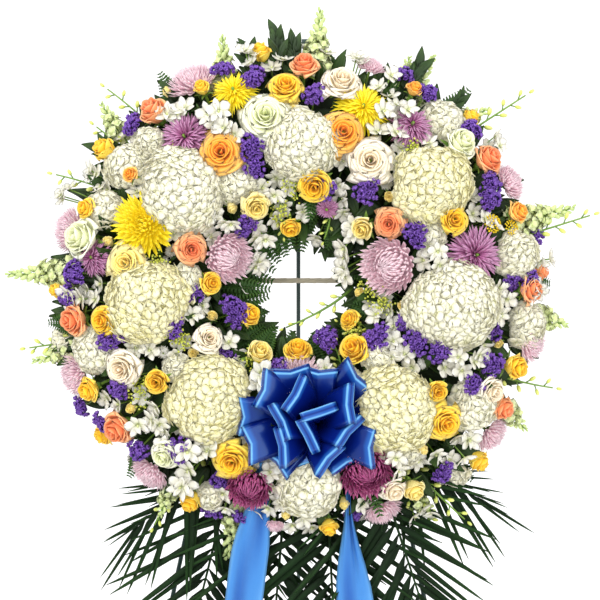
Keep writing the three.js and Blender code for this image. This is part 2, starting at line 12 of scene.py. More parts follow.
import bpy
import numpy as np
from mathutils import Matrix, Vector


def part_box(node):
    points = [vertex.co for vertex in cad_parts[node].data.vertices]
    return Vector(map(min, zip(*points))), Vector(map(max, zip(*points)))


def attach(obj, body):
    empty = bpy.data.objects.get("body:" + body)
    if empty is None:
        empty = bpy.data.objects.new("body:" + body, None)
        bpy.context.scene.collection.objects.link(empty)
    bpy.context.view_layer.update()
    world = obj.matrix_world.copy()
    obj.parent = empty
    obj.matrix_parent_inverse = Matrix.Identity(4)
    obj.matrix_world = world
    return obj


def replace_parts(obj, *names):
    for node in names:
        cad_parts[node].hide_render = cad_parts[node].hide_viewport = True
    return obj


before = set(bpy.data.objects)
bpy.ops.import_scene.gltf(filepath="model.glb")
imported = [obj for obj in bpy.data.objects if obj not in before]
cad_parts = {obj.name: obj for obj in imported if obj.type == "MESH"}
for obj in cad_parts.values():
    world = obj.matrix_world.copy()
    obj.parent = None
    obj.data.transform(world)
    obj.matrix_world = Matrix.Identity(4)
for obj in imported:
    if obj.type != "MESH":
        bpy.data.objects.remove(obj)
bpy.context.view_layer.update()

LOG = logging.getLogger("wreath")
MM = 0.001
TURN = 2 * math.pi
GOLDEN_ANGLE = math.pi * (3 - math.sqrt(5))
HOLDER = "easel_and_wreath"
SEED = 20

# The arch on which the flower heads' middles lie, and the foam that holds the stems.
ARCH_MIDDLE = 240 * MM
ARCH_BACK = 20 * MM
HEAD_HALF_WIDTH = 175 * MM
HEAD_HEIGHT = 115 * MM
FOAM_MIDDLE = 235 * MM
FOAM_HALF = 45 * MM
FOAM_DEPTH = 34 * MM

# How far roses and chrysanthemums stand proud of the arch, and how deep light enters a petal.
ROSE_LIFT = 24 * MM
MUM_LIFT = 16 * MM
GLOW_DEPTH = 8 * MM


# ---------------------------------------------------------------- surfaces worked out with numpy


@dataclass
class Surface:
    """A closed mesh of four-sided faces.

    points are places, faces point numbers, petal each point's across (-1 to 1), along (0 to 1)
    and tone (0 to 1), corners each face corner's place on the flat layout, paint its finish.
    """

    points: np.ndarray
    faces: np.ndarray
    petal: np.ndarray
    corners: np.ndarray
    paint: np.ndarray

    def painted(self, paint: int) -> "Surface":
        """The same surface with every face in one numbered finish."""
        return replace(self, paint=np.full(len(self.faces), paint))

    def moved(self, turn: np.ndarray, place: np.ndarray, scale: float = 1.0) -> "Surface":
        """The same surface scaled, then turned by a 3 by 3 matrix, then shifted."""
        return replace(self, points=(self.points * scale) @ np.asarray(turn).T + place)

    def sized(self, size: np.ndarray | list | float, shift: np.ndarray | list | float = 0.0) -> "Surface":
        """The same surface stretched along each axis, then shifted."""
        return replace(self, points=self.points * size + shift)


def joined(parts: list[Surface]) -> Surface:
    """Joins surfaces into one and gives each its own strip of the flat layout.

    Args:
        parts: the surfaces, in order.

    Returns:
        One surface. A strip is as wide as the part's share of all the faces.
    """
    starts = np.cumsum([0] + [len(p.points) for p in parts])
    share = np.cumsum([0] + [len(p.faces) for p in parts]) / sum(len(p.faces) for p in parts)
    corners = []
    for part, low, high in zip(parts, share[:-1], share[1:]):
        corners.append(part.corners * [high - low, 1.0] + [low, 0.0])
    return Surface(
        np.concatenate([p.points for p in parts]),
        np.concatenate([p.faces + start for p, start in zip(parts, starts)]),
        np.concatenate([p.petal for p in parts]),
        np.concatenate(corners),
        np.concatenate([p.paint for p in parts]),
    )


def repeated(
    part: Surface, turns: np.ndarray, places: np.ndarray, tones: np.ndarray, scales: np.ndarray | None = None
) -> Surface:
    """Copies a surface to many places: each point is scale times the turned point plus a place.

    Args:
        part: the surface to copy.
        turns: one 3 by 3 matrix for each copy.
        places: one place for each copy.
        tones: one tone for each copy, mixed half and half with the part's own.
        scales: one size for each copy, or none for full size.

    Returns:
        One surface of all the copies, each in its own cell of the flat layout.
    """
    count = len(places)
    sizes = np.ones(count) if scales is None else scales
    points = np.einsum("kij,nj->kni", turns, part.points) * sizes[:, None, None] + places[:, None, :]
    petal = np.repeat(part.petal[None], count, 0)
    petal[:, :, 2] = 0.5 * petal[:, :, 2] + 0.5 * tones[:, None]
    faces = part.faces[None] + (np.arange(count) * len(part.points))[:, None, None]
    side = math.ceil(math.sqrt(count))
    cell = np.stack([np.arange(count) % side, np.arange(count) // side], 1)
    corners = (part.corners[None] * 0.94 + 0.03 + cell[:, None, None, :]) / side
    return Surface(
        points.reshape(-1, 3),
        faces.reshape(-1, 4),
        petal.reshape(-1, 3),
        corners.reshape(-1, 4, 2),
        np.tile(part.paint, count),
    )


def quads(index: np.ndarray, flip: bool = False) -> np.ndarray:
    """The four-sided faces of a grid of point numbers, turned over if flip is set."""
    a, b, c, d = index[:-1, :-1], index[1:, :-1], index[1:, 1:], index[:-1, 1:]
    order = (a, d, c, b) if flip else (a, b, c, d)
    return np.stack([corner.ravel() for corner in order], 1)


def shell(grid: np.ndarray, thickness: float, tones: np.ndarray | None = None) -> Surface:
    """Thickens grids of points into closed shells whose two faces meet at the rim.

    The back is each inner point less thickness times the unit normal, across direction cross
    along direction, so a shell is thickest inside and has a fine edge.

    Args:
        grid: points of shape (count, across, along, 3).
        thickness: metres between the faces.
        tones: one tone for each grid.

    Returns:
        One surface of count closed shells.
    """
    count, across, along = grid.shape[:3]
    normal = np.cross(np.gradient(grid, axis=1), np.gradient(grid, axis=2))
    normal /= np.maximum(np.linalg.norm(normal, axis=-1, keepdims=True), 1e-12)
    back = (grid - normal * thickness)[:, 1:-1, 1:-1]
    front_index = np.arange(across * along).reshape(across, along)
    back_index = front_index.copy()
    back_index[1:-1, 1:-1] = across * along + np.arange(back[0, :, :, 0].size).reshape(back.shape[1:3])
    faces = np.concatenate([quads(front_index), quads(back_index, flip=True)])
    points = np.concatenate([grid.reshape(count, -1, 3), back.reshape(count, -1, 3)], 1)
    share_u, share_v = np.meshgrid(np.linspace(0, 1, across), np.linspace(0, 1, along), indexing="ij")
    flat = np.stack([share_u, share_v], -1)
    flat_points = np.concatenate([flat.reshape(-1, 2), flat[1:-1, 1:-1].reshape(-1, 2)])
    half = len(faces) // 2
    corners = flat_points[faces] * [0.47, 1.0]
    corners[half:, :, 0] += 0.53
    petal = np.empty((count, len(flat_points), 3))
    petal[:, :, 0] = flat_points[:, 0] * 2 - 1
    petal[:, :, 1] = flat_points[:, 1]
    petal[:, :, 2] = 0.5 if tones is None else tones[:, None]
    side = math.ceil(math.sqrt(count))
    cell = np.stack([np.arange(count) % side, np.arange(count) // side], 1)
    placed = (corners[None] * 0.92 + 0.04 + cell[:, None, None, :]) / side
    every = faces[None] + (np.arange(count) * points.shape[1])[:, None, None]
    return Surface(
        points.reshape(-1, 3),
        every.reshape(-1, 4),
        petal.reshape(-1, 3),
        placed.reshape(-1, 4, 2),
        np.zeros(count * len(faces), int),
    )


def bead(cuts: int = 2) -> Surface:
    """A ball of radius 1: a cube's six faces cut into squares, each point moved to length 1."""
    step = np.linspace(-1, 1, cuts + 1)
    u, v = np.meshgrid(step, step, indexing="ij")
    one = np.ones_like(u)
    sides = [(u, v, one), (v, u, -one), (one, u, v), (-one, v, u), (v, one, u), (u, -one, v)]
    grids = [np.stack(side, -1) for side in sides]
    size = (cuts + 1) ** 2
    index = np.arange(size).reshape(cuts + 1, cuts + 1)
    faces = np.concatenate([quads(index) + size * number for number in range(6)])
    every = np.concatenate([grid.reshape(-1, 3) for grid in grids])
    points, first = np.unique(np.round(every, 9), axis=0, return_inverse=True)
    faces = first.reshape(-1)[faces]
    points = points / np.linalg.norm(points, axis=1, keepdims=True)
    petal = np.stack([points[:, 0], points[:, 2] * 0.5 + 0.5, np.full(len(points), 0.5)], 1)
    square = np.stack([u, v], -1).reshape(-1, 2) * 0.5 + 0.5
    local = square[quads(index)]
    tiles = [local * [1 / 3, 1 / 2] * 0.96 + [(n % 3) / 3, (n // 3) / 2] for n in range(6)]
    return Surface(points, faces, petal, np.concatenate(tiles), np.zeros(len(faces), int))


def tube(path: np.ndarray, radius: np.ndarray | float, sides: int = 6) -> Surface:
    """A closed round stalk along a path: each point's ring lies square to the path there.

    Args:
        path: points along the middle, shape (steps, 3).
        radius: one radius, or one for each point.
        sides: an even number of sides.

    Returns:
        The stalk, with flat ends of four-sided faces.
    """
    steps = len(path)
    along = np.gradient(path, axis=0)
    along /= np.linalg.norm(along, axis=1, keepdims=True)
    helper = np.array([0.31, 0.19, 0.93]) if abs(along[0, 2]) < 0.8 else np.array([0.9, 0.1, 0.2])
    first = np.cross(along, helper)
    first /= np.linalg.norm(first, axis=1, keepdims=True)
    second = np.cross(along, first)
    angle = np.linspace(0, TURN, sides, endpoint=False)[None, :, None]
    wide = np.broadcast_to(radius, steps)[:, None, None]
    rings = path[:, None] + wide * (np.cos(angle) * first[:, None] + np.sin(angle) * second[:, None])
    index = np.arange(steps * sides).reshape(steps, sides)
    wrapped = np.concatenate([index, index[:, :1]], 1)
    body = quads(wrapped.T)
    fan = np.array([[0, k + 1, k + 2, k + 3] for k in range(0, sides - 2, 2)])
    faces = np.concatenate([body, fan[:, ::-1], fan + (steps - 1) * sides])
    share_v, share_u = np.meshgrid(np.linspace(0, 1, steps), np.linspace(0, 1, sides + 1), indexing="ij")
    flat = np.stack([share_u, share_v], -1).reshape(-1, 2)
    flat_index = np.arange(steps * (sides + 1)).reshape(steps, sides + 1)
    corners = np.concatenate([flat[quads(flat_index.T)], np.zeros((2 * len(fan), 4, 2))])
    corners[-2 * len(fan):] = np.array([[0, 0], [0.02, 0], [0.02, 0.02], [0, 0.02]]) + [0.97, 0.0]
    petal = np.zeros((steps * sides, 3))
    petal[:, 0] = np.tile(np.linspace(-1, 1, sides), steps)
    petal[:, 1] = np.repeat(np.linspace(0, 1, steps), sides)
    petal[:, 2] = 0.5
    return Surface(rings.reshape(-1, 3), faces, petal, corners * 0.96 + 0.02, np.zeros(len(faces), int))


def aimed(directions: np.ndarray, spins: np.ndarray) -> np.ndarray:
    """Matrices that turn +Z to each direction, after a spin about +Z."""
    forward = directions / np.linalg.norm(directions, axis=-1, keepdims=True)
    helper = np.where(np.abs(forward[:, 1:2]) < 0.9, [[0.0, 1.0, 0.0]], [[1.0, 0.0, 0.0]])
    right = np.cross(helper, forward)
    right /= np.linalg.norm(right, axis=-1, keepdims=True)
    up = np.cross(forward, right)
    cos, sin = np.cos(spins)[:, None], np.sin(spins)[:, None]
    return np.stack([right * cos + up * sin, up * cos - right * sin, forward], -1)


def lifted(lifts: np.ndarray, spins: np.ndarray) -> np.ndarray:
    """Matrices that raise a petal lying along +Y by each lift, then spin it about +Z."""
    cos_l, sin_l, cos_s, sin_s = np.cos(lifts), np.sin(lifts), np.cos(spins), np.sin(spins)
    zero = np.zeros_like(cos_l)
    rows = [
        [cos_s, -sin_s * cos_l, sin_s * sin_l],
        [sin_s, cos_s * cos_l, -cos_s * sin_l],
        [zero, sin_l, cos_l],
    ]
    return np.stack([np.stack(row, -1) for row in rows], -2)


class Outline(Enum):
    """The ways in which a petal's or leaf's width runs from its base to its tip."""

    ROUND = "round"
    OVAL = "oval"
    POINTED = "pointed"
    STRAP = "strap"
    NEEDLE = "needle"

    def width(self, v: np.ndarray) -> np.ndarray:
        """The share of full width at each share of the length."""
        if self is Outline.ROUND:
            return 0.16 + 0.84 * np.sin(math.pi * np.clip(0.10 + 0.85 * v**1.15, 0, 1)) ** 0.6
        if self is Outline.OVAL:
            return 0.05 + 0.95 * np.sin(math.pi * np.clip(0.03 + 0.94 * v, 0, 1)) ** 0.75
        if self is Outline.POINTED:
            return 0.04 + 0.96 * np.sin(math.pi * np.clip(v, 0, 1) ** 0.8) ** 0.9 * (1 - 0.25 * v)
        if self is Outline.STRAP:
            return 0.55 + 0.45 * np.sin(math.pi * v) - 0.5 * np.clip(v - 0.85, 0, 1) / 0.15
        return 0.08 + 0.92 * np.minimum(v * 8, 1) * (1 - v) ** 0.55


@dataclass(frozen=True)
class Blade:
    """A petal or leaf that lies along +Y with its face up.

    The middle line is an arc of the given length that turns through arch; across it the
    edges rise by cup times the square of the distance from the middle, and ruffle waves them.
    """

    length: float
    width: float
    outline: Outline = Outline.ROUND
    arch: float = 0.3
    cup: float = 0.2
    ruffle: float = 0.0
    thickness: float = 0.0006
    across: int = 4
    along: int = 4

    def surface(self) -> Surface:
        """The blade as one closed shell."""
        u = np.linspace(-1, 1, self.across)[None, :, None]
        v = np.linspace(0, 1, self.along)[None, None, :]
        bend = self.arch if abs(self.arch) > 1e-3 else 1e-3
        half = self.outline.width(v) * self.width / 2
        y = self.length * np.sin(bend * v) / bend + 0 * u
        z = self.length * (1 - np.cos(bend * v)) / bend + self.cup * half * u**2
        z = z + self.ruffle * self.length * np.sin(9 * v + 5 * u) * np.abs(u) * v
        return shell(np.stack([u * half + 0 * v, y, z], -1), self.thickness)


# ---------------------------------------------------------------- the ring's plane


@dataclass(frozen=True)
class Plane:
    """The leaning plane of the ring, read from the frame: its middle and its directions."""

    middle: np.ndarray
    axes: np.ndarray

    @staticmethod
    def from_frame() -> "Plane":
        """Finds the lean from the two bars, and the middle from the tray."""

        def centre(node: str) -> np.ndarray:
            low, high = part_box(node)
            return (np.array(low) + np.array(high)) / 2

        run = centre("wrapped_crossbar") - centre("lower_bar")
        lean = math.atan2(run[1], run[2])
        up = np.array([0.0, math.sin(lean), math.cos(lean)])
        out = np.array([0.0, -math.cos(lean), math.sin(lean)])
        axes = np.stack([np.array([1.0, 0.0, 0.0]), up, out], 1)
        tray_half_depth = 6 * MM
        return Plane(centre("ring_tray") - out * tray_half_depth, axes)

    def to_room(self, points: np.ndarray) -> np.ndarray:
        """Places in the plane as places in the room."""
        return points @ self.axes.T + self.middle

    def from_room(self, points: np.ndarray) -> np.ndarray:
        """Places in the room as places in the plane."""
        return (points - self.middle) @ self.axes


def on_face(hour: float, away: float, out: float = 0.0) -> np.ndarray:
    """A place in the plane by clock hour, distance from the middle and level, in metres."""
    angle = hour / 12 * TURN
    return np.array([away * math.sin(angle), away * math.cos(angle), out])


def head_level(away: float) -> float:
    """The level of the arch on which the heads' middles lie: a half ellipse over the foam."""
    share = min(abs(away - ARCH_MIDDLE) / HEAD_HALF_WIDTH, 0.98)
    return ARCH_BACK + HEAD_HEIGHT * math.sqrt(1 - share * share)


def facing(hour: float, away: float) -> np.ndarray:
    """The way a head at this place faces: outwards more and more towards the rims."""
    rise = head_level(away) - ARCH_BACK
    rim = min(max((away - 340 * MM) / (60 * MM), 0.0), 1.0)
    tilt = (0.65 + 0.2 * rim) * math.atan2(away - ARCH_MIDDLE, rise)
    return on_face(hour, math.sin(tilt), math.cos(tilt))


def foam_point(hour: float, away: float) -> np.ndarray:
    """Where the stem of a head at this place enters the foam."""
    spread = max(min((away - ARCH_MIDDLE) * 0.2, FOAM_HALF - 8 * MM), 8 * MM - FOAM_HALF)
    return on_face(hour, FOAM_MIDDLE + spread, FOAM_DEPTH)


def planted(
    head: Surface, centre: np.ndarray, face: np.ndarray, spin: float, foot: np.ndarray, stem: float
) -> Surface:
    """Sets a head at its place and adds its stem.

    Args:
        head: the flower head about its own middle, facing +Z.
        centre: the head's middle in the plane.
        face: the way it faces.
        spin: its turn about its own axis.
        foot: the stem's end in the foam.
        stem: the stem's radius.

    Returns:
        Head and stem in the plane; the stem is an arc that leaves along the head's axis.
    """
    turn = aimed(face[None], np.array([spin]))[0]
    t = np.linspace(0, 1, 6)[:, None]
    knee = centre - face * 0.45 * np.linalg.norm(centre - foot)
    path = centre * (1 - t) ** 2 + knee * 2 * t * (1 - t) + foot * t**2
    return joined([head.moved(turn, centre), tube(path[::-1], stem).painted(1)])


# ---------------------------------------------------------------- flower heads


def hydrangea_head(radius: float, rng: np.random.Generator) -> Surface:
    """A domed head of four-petalled florets spread evenly over its upper half and sides.

    Floret k faces the direction whose height falls evenly from 1 to -0.25 and whose bearing
    grows by the golden angle. The head's reach in each direction is 1 plus two slow waves round
    its rim and one over its dome, and the core under the florets follows it.
    """
    phase = rng.uniform(0, TURN, 2)

    def reach(way: np.ndarray) -> np.ndarray:
        """How far the head reaches in each direction, as a share of its radius."""
        around = np.arctan2(way[:, 1], way[:, 0])
        rim = 0.055 * np.cos(2 * around + phase[0]) + 0.045 * np.cos(3 * around + phase[1])
        dome = 0.06 * np.sin(4 * way[:, 0] + 2) * np.cos(3 * way[:, 1])
        return (1 + rim * np.hypot(way[:, 0], way[:, 1]) + dome)[:, None]

    petal = Blade(0.0142, 0.0176, Outline.ROUND, -0.20, 0.0, 0.06, 0.0005).surface()
    spins = np.arange(4) * TURN / 4
    lifts = np.array([0.10, 0.24, 0.10, 0.24])
    petals = repeated(petal, lifted(lifts, spins), np.zeros((4, 3)), np.full(4, 0.5))
    eye = bead(1).sized(0.0014, [0, 0, 0.0010])
    eye.petal[:, 1] = 0.0
    floret = joined([petals, eye])
    count = int(0.034 * (radius / MM) ** 2) + 14
    k = np.arange(count)
    height = 1 - (k + 0.5) / count * 1.25
    bearing = k * GOLDEN_ANGLE
    flat = np.sqrt(1 - height**2)
    way = np.stack([flat * np.cos(bearing), flat * np.sin(bearing), height], 1)
    loose = rng.uniform(-0.035, 0.035, (count, 1))
    places = way * np.array([radius, radius, radius * 0.80]) * (reach(way) + loose) * 0.95
    turned = way + rng.normal(0, 0.17, (count, 3))
    # The tones rise with each floret's height on the dome, so the lower florets are painted a little darker as
    # painted shade, with a spread drawn by chance.
    florets = repeated(
        floret,
        aimed(turned, rng.uniform(0, TURN, count)),
        places,
        np.clip(0.5 + 0.5 * height + rng.uniform(-0.3, 0.3, count), 0, 1),
        rng.uniform(0.9, 1.15, count),
    )
    core = bead(6)
    core_size = [radius * 0.92, radius * 0.92, radius * 0.735]
    core = replace(core, points=core.points * reach(core.points) * core_size)
    core.petal[:, 1] = 0.5
    core.petal[:, 2] = 0.8
    return joined([florets, core])


def rose_head(radius: float, height: float, openness: float, rng: np.random.Generator) -> Surface:
    """A rose: petals wrapped round the axis, each golden angle further and a little wider.

    At share v of its height a petal stands at a radius that grows towards its own reach, and
    its rim rolls outwards and down by openness times the square of what lies above two thirds.

    Args:
        radius: how far the outermost petals reach.
        height: from the base to the top of the heart.
        openness: from 0, a bud, to 1, fully open.
        rng: the source of its small irregularities.

    Returns:
        Petals in finish 0 and sepals in finish 1, about the head's middle.
    """
    count = 13 + int(8 * openness)
    k = np.arange(count)[:, None, None]
    t = k / (count - 1)
    u = np.linspace(-1, 1, 9)[None, :, None]
    v = np.linspace(0, 1, 8)[None, None, :]
    bearing = k * GOLDEN_ANGLE + rng.uniform(-0.2, 0.2, count)[:, None, None]
    reach = (0.09 + (0.34 + 0.50 * openness) * t**0.9) * (1 + rng.uniform(-0.05, 0.05, count)[:, None, None])
    tall = 0.92 + 0.08 * np.sin(math.pi * np.minimum(t * 1.5, 1)) - (0.06 + 0.40 * openness) * t**2
    wrap = (1.65 - 0.60 * t) * (0.40 + 0.60 * np.sin(math.pi * (0.14 + 0.60 * v)) ** 0.7)
    over = np.clip(v - 0.58, 0, 1) ** 2 * (0.25 + 0.75 * openness) * t**0.6 * 2.6
    belly = np.sin(math.pi * np.clip(v * 0.60 + 0.04, 0, 1))
    r = radius * (0.06 + (reach - 0.06) * belly + over * (0.60 + 0.50 * u**2))
    r = r * (1 - 0.08 * u**2 * (1 - v)) + 0.022 * radius * np.sin(3 * u + 7 * k + 3 * v) * v * t
    z = height * (tall * v * (1 - 0.20 * u**2 * v**2) - over * 0.62)
    angle = bearing - u * wrap
    grid = np.stack([r * np.cos(angle), r * np.sin(angle), z + 0 * u], -1)
    petals = shell(grid, 0.0005, np.clip(t[:, 0, 0] * 0.9 + rng.uniform(-0.05, 0.15, count), 0, 1))
    sepal = Blade(radius * 0.95, radius * 0.34, Outline.POINTED, -0.5, 0.25, 0, 0.0006, 3, 6).surface()
    spins = np.arange(5) * TURN / 5
    sepal_feet = np.full((5, 3), [0, 0, -0.02 * height])
    sepals = repeated(sepal, lifted(np.full(5, 0.5), spins), sepal_feet, np.full(5, 0.5))
    hip = bead(2).sized([radius * 0.24, radius * 0.24, radius * 0.22], [0, 0, -radius * 0.05])
    whole = joined([petals, sepals.painted(1), hip.painted(1)])
    return replace(whole, points=whole.points - [0, 0, height * 0.5])


def mum_head(radius: float, rng: np.random.Generator, spider: float = 0.0) -> Surface:
    """A chrysanthemum: narrow petals at the golden angle, from upright inside to flat outside.

    A petal leaves at its own tilt from the axis and turns along its length: inwards on a dense
    head, outwards and unevenly on a spidery one, whose petals are also fewer and longer.
    """
    count = int(260 - 60 * spider)
    k = np.arange(count)[:, None, None]
    t = (k + 0.5) / count
    u = np.linspace(-1, 1, 3)[None, :, None]
    v = np.linspace(0, 1, 6)[None, None, :]
    wobble = rng.uniform(-1, 1, (4, count))[:, :, None, None]
    tilt = np.radians(8 + 24 * spider + (88 - 18 * spider) * t**0.62) + (0.08 + 0.10 * spider) * wobble[0]
    length = radius * (0.62 - 0.10 * spider + (0.40 + 0.10 * spider) * t**0.7) * (1 + 0.07 * wobble[1])
    bend = -0.85 * (1 - spider) + spider * (0.45 + 0.5 * wobble[2])
    angle = tilt + bend * (v - 0.45) * (0.4 + 0.9 * v)
    r = radius * 0.12 * t + length * v * np.sin(angle)
    z = -0.10 * radius * t + length * v * np.cos(angle)
    wide = radius * (0.080 - 0.040 * spider) * Outline.STRAP.width(v) * (0.8 + 0.3 * t)
    bearing = k * GOLDEN_ANGLE + 0.10 * wobble[3] * v
    cos, sin = np.cos(bearing), np.sin(bearing)
    x = r * cos + u * wide * sin
    y = r * sin - u * wide * cos
    rise = wide * 0.7 * np.abs(u) * np.sin(angle)
    tones = np.clip(t[:, 0, 0] * 0.7 + 0.3 + 0.25 * wobble[1][:, 0, 0], 0, 1)
    petals = shell(np.stack([x, y, z + rise], -1), 0.0005, tones)
    cup = bead(2).sized([radius * 0.3, radius * 0.3, radius * 0.2], [0, 0, -radius * 0.16])
    whole = joined([petals, cup.painted(1)])
    return replace(whole, points=whole.points - [0, 0, radius * 0.22])


def button_head(radius: float) -> Surface:
    """A button flower: a low dome of tight knobs at the golden angle."""
    k = np.arange(46)
    height = 1 - (k + 0.5) / 46 * 0.95
    flat = np.sqrt(1 - height**2)
    way = np.stack([flat * np.cos(k * GOLDEN_ANGLE), flat * np.sin(k * GOLDEN_ANGLE), height], 1)
    knob = bead(1)
    knob = replace(knob, points=knob.points * [radius * 0.13, radius * 0.13, radius * 0.2])
    return repeated(knob, aimed(way, k * 1.0), way * radius * [1, 1, 0.6], 1 - height)


def orchid_head(size: float) -> Surface:
    """A dendrobium bloom: three narrower sepals, two wide petals, a rolled lip and a column."""
    sepal = Blade(size, size * 0.52, Outline.OVAL, 0.45, 0.22, 0.02, 0.0007, 4, 5).surface()
    wing = Blade(size * 0.98, size * 0.80, Outline.ROUND, 0.5, 0.2, 0.04, 0.0007, 4, 5).surface()
    lip = Blade(size * 0.72, size * 0.5, Outline.OVAL, -1.1, 1.1, 0.05, 0.0007, 4, 5).surface()
    sepal_turns = lifted(np.full(3, 0.18), np.radians([0, 128, 232]))
    sepals = repeated(sepal, sepal_turns, np.zeros((3, 3)), np.full(3, 0.3))
    wings = repeated(wing, lifted(np.full(2, 0.12), np.radians([68, -68])), np.zeros((2, 3)), np.full(2, 0.6))
    lips = repeated(lip, lifted(np.full(1, 1.0), np.radians([180])), np.zeros((1, 3)), np.full(1, 1.0))
    column = bead(2)
    column = replace(column, points=column.points * size * np.array([0.09, 0.09, 0.16]) + [0, 0, size * 0.1])
    column.petal[:, 1] = 0.0
    return joined([sepals, wings, lips, column])


def statice_head(radius: float, rng: np.random.Generator) -> Surface:
    """A papery cluster: ruffled little cups crowded over three lumps that stand side by side.

    Cup k belongs to lump k mod 3; within its lump it faces the direction whose height falls
    evenly and whose bearing grows by the golden angle.
    """
    frill = Blade(0.0060, 0.0090, Outline.ROUND, 0.7, 0.5, 0.3, 0.0004, 5, 3).surface()
    frill_turns = lifted(np.full(3, 0.7), np.arange(3) * TURN / 3)
    cup = repeated(frill, frill_turns, np.zeros((3, 3)), np.array([0.2, 0.6, 1.0]))
    count = int(0.11 * (radius / MM) ** 2) + 18
    k = np.arange(count)
    height = 1 - (k + 0.5) / count * 1.1
    flat = np.sqrt(np.clip(1 - height**2, 0, 1))
    way = np.stack([flat * np.cos(k * GOLDEN_ANGLE), flat * np.sin(k * GOLDEN_ANGLE), height], 1)
    lump = (k % 3) * TURN / 3
    middles = np.stack([np.cos(lump), 0.7 * np.sin(lump), 0.2 * np.sin(2 * lump)], 1) * radius * 0.55
    places = middles + way * radius * [0.55, 0.5, 0.5] * rng.uniform(0.75, 1.15, count)[:, None]
    turns = aimed(way + rng.normal(0, 0.3, (count, 3)), rng.uniform(0, TURN, count))
    cups = repeated(cup, turns, places, rng.uniform(0, 1, count), rng.uniform(0.8, 1.2, count))
    core = bead(2)
    core = replace(core, points=core.points * radius * 0.34)
    core.petal[:, 2] = 0.0
    lumps = repeated(core, np.repeat(np.eye(3)[None], 3, 0), middles[:3], np.zeros(3))
    return joined([cups, lumps])


# ---------------------------------------------------------------- sprays and leaves


def arc_path(start: np.ndarray, end: np.ndarray, bow: np.ndarray, steps: int = 12) -> np.ndarray:
    """A path from start to end that bulges by bow at its middle: a parabola of the share run."""
    t = np.linspace(0, 1, steps)[:, None]
    return start * (1 - t) + end * t + bow * 4 * t * (1 - t)

def along_path(path: np.ndarray, share: np.ndarray) -> np.ndarray:
    """The places at these shares of a path's run, between its points."""
    steps = np.linspace(0, 1, len(path))
    return np.stack([np.interp(share, steps, path[:, axis]) for axis in range(3)], 1)


def snapdragon_spray(path: np.ndarray, radius: float, rng: np.random.Generator) -> Surface:
    """A spike: ruffled florets low down, then shrinking buds in a spiral round the stalk."""
    length = np.linalg.norm(path[-1] - path[0])
    count = max(int(length / 0.0030), 18)
    share = np.linspace(0.0, 0.97, count)
    centre = along_path(path, share)
    along = path[-1] - path[0]
    along = along / np.linalg.norm(along)
    frame_turn = aimed(along[None], np.zeros(1))[0]
    bearing = np.arange(count) * GOLDEN_ANGLE
    side = np.stack([np.cos(bearing), np.sin(bearing), np.zeros(count)], 1) @ frame_turn.T
    size = radius * (1 - 0.78 * share) * rng.uniform(0.9, 1.1, count)
    way = side * (1 - 0.5 * share)[:, None] + along * (0.35 + 0.9 * share)[:, None]
    bud = bead(2)
    bud = replace(bud, points=bud.points * [0.30, 0.34, 0.60] + [0, 0, 0.5])
    places = centre + side * (size * 0.30)[:, None]
    buds = repeated(bud, aimed(way, bearing), places, share, size * 1.05)
    low = share < 0.55
    lobe = Blade(0.80, 0.95, Outline.ROUND, -1.1, 0.3, 0.14, 0.03).surface()
    lobe_turns = lifted(np.full(4, 0.9), np.arange(4) * TURN / 4)
    frill = repeated(lobe, lobe_turns, np.full((4, 3), [0, 0, 0.62]), np.full(4, 0.2))
    open_ones = repeated(frill, aimed(way[low], bearing[low]), places[low], share[low] * 0.5, size[low] * 0.9)
    stalk = tube(path, np.linspace(0.0026, 0.0010, len(path)))
    return joined([buds, open_ones, stalk.painted(1)])


def bud_spray(path: np.ndarray, size: float, rng: np.random.Generator, count: int = 9) -> Surface:
    """An orchid's bud stem: a thin zigzag stalk with buds on short side stalks."""
    share = np.linspace(0.25, 1.0, count)
    centre = along_path(path, share)
    along = np.gradient(centre, axis=0)
    along /= np.linalg.norm(along, axis=1, keepdims=True)
    across = np.cross(along, [0.0, 0.0, 1.0])
    sign = np.where(np.arange(count) % 2 == 0, 1.0, -1.0)[:, None]
    way = along * 0.8 + across * sign * 0.8 + rng.normal(0, 0.2, (count, 3))
    way /= np.linalg.norm(way, axis=1, keepdims=True)
    way[-1] = along[-1]
    bud = bead(2)
    bud = replace(bud, points=bud.points * [0.30, 0.30, 0.58])
    reach = size * 0.75 * (1 - 0.4 * share)
    sizes = size * (1.15 - 0.55 * share)
    places = centre + way * (reach + sizes * 0.5)[:, None]
    buds = repeated(bud, aimed(way, np.zeros(count)), places, share, sizes)
    parts = [buds, tube(path, np.linspace(0.0026, 0.0013, len(path))).painted(1)]
    for k in range(count - 1):
        side_stalk = arc_path(centre[k], centre[k] + way[k] * reach[k], 0 * way[k], 3)
        parts.append(tube(side_stalk, 0.0012, 4).painted(1))
    return joined(parts)


def fern_spray(path: np.ndarray, width: float) -> Surface:
    """A leatherleaf frond: pinnae in two rows that shorten to the tip, on a thin midrib."""
    count = 17
    share = np.linspace(0.1, 0.98, count)
    centre = along_path(path, share)
    along = np.gradient(centre, axis=0)
    along /= np.linalg.norm(along, axis=1, keepdims=True)
    normal = np.cross(np.cross(along, [0.0, 0.0, 1.0]), along)
    normal /= np.linalg.norm(normal, axis=1, keepdims=True)
    pinna = Blade(1.0, 0.50, Outline.POINTED, -0.3, 0.1, 0.16, 0.012, 3, 7).surface()
    parts = [tube(path, np.linspace(0.0014, 0.0006, len(path)), 4)]
    for side in (-1.0, 1.0):
        across = np.cross(along, normal) * side
        way = across * 0.85 + along * 0.52
        way /= np.linalg.norm(way, axis=1, keepdims=True)
        turns = np.stack([np.cross(way, normal), way, normal], -1)
        size = width * (0.3 + 0.7 * np.sin(math.pi * (0.2 + 0.75 * share))) * (1.05 - 0.5 * share)
        parts.append(repeated(pinna, turns, centre, share, size))
    return joined(parts)


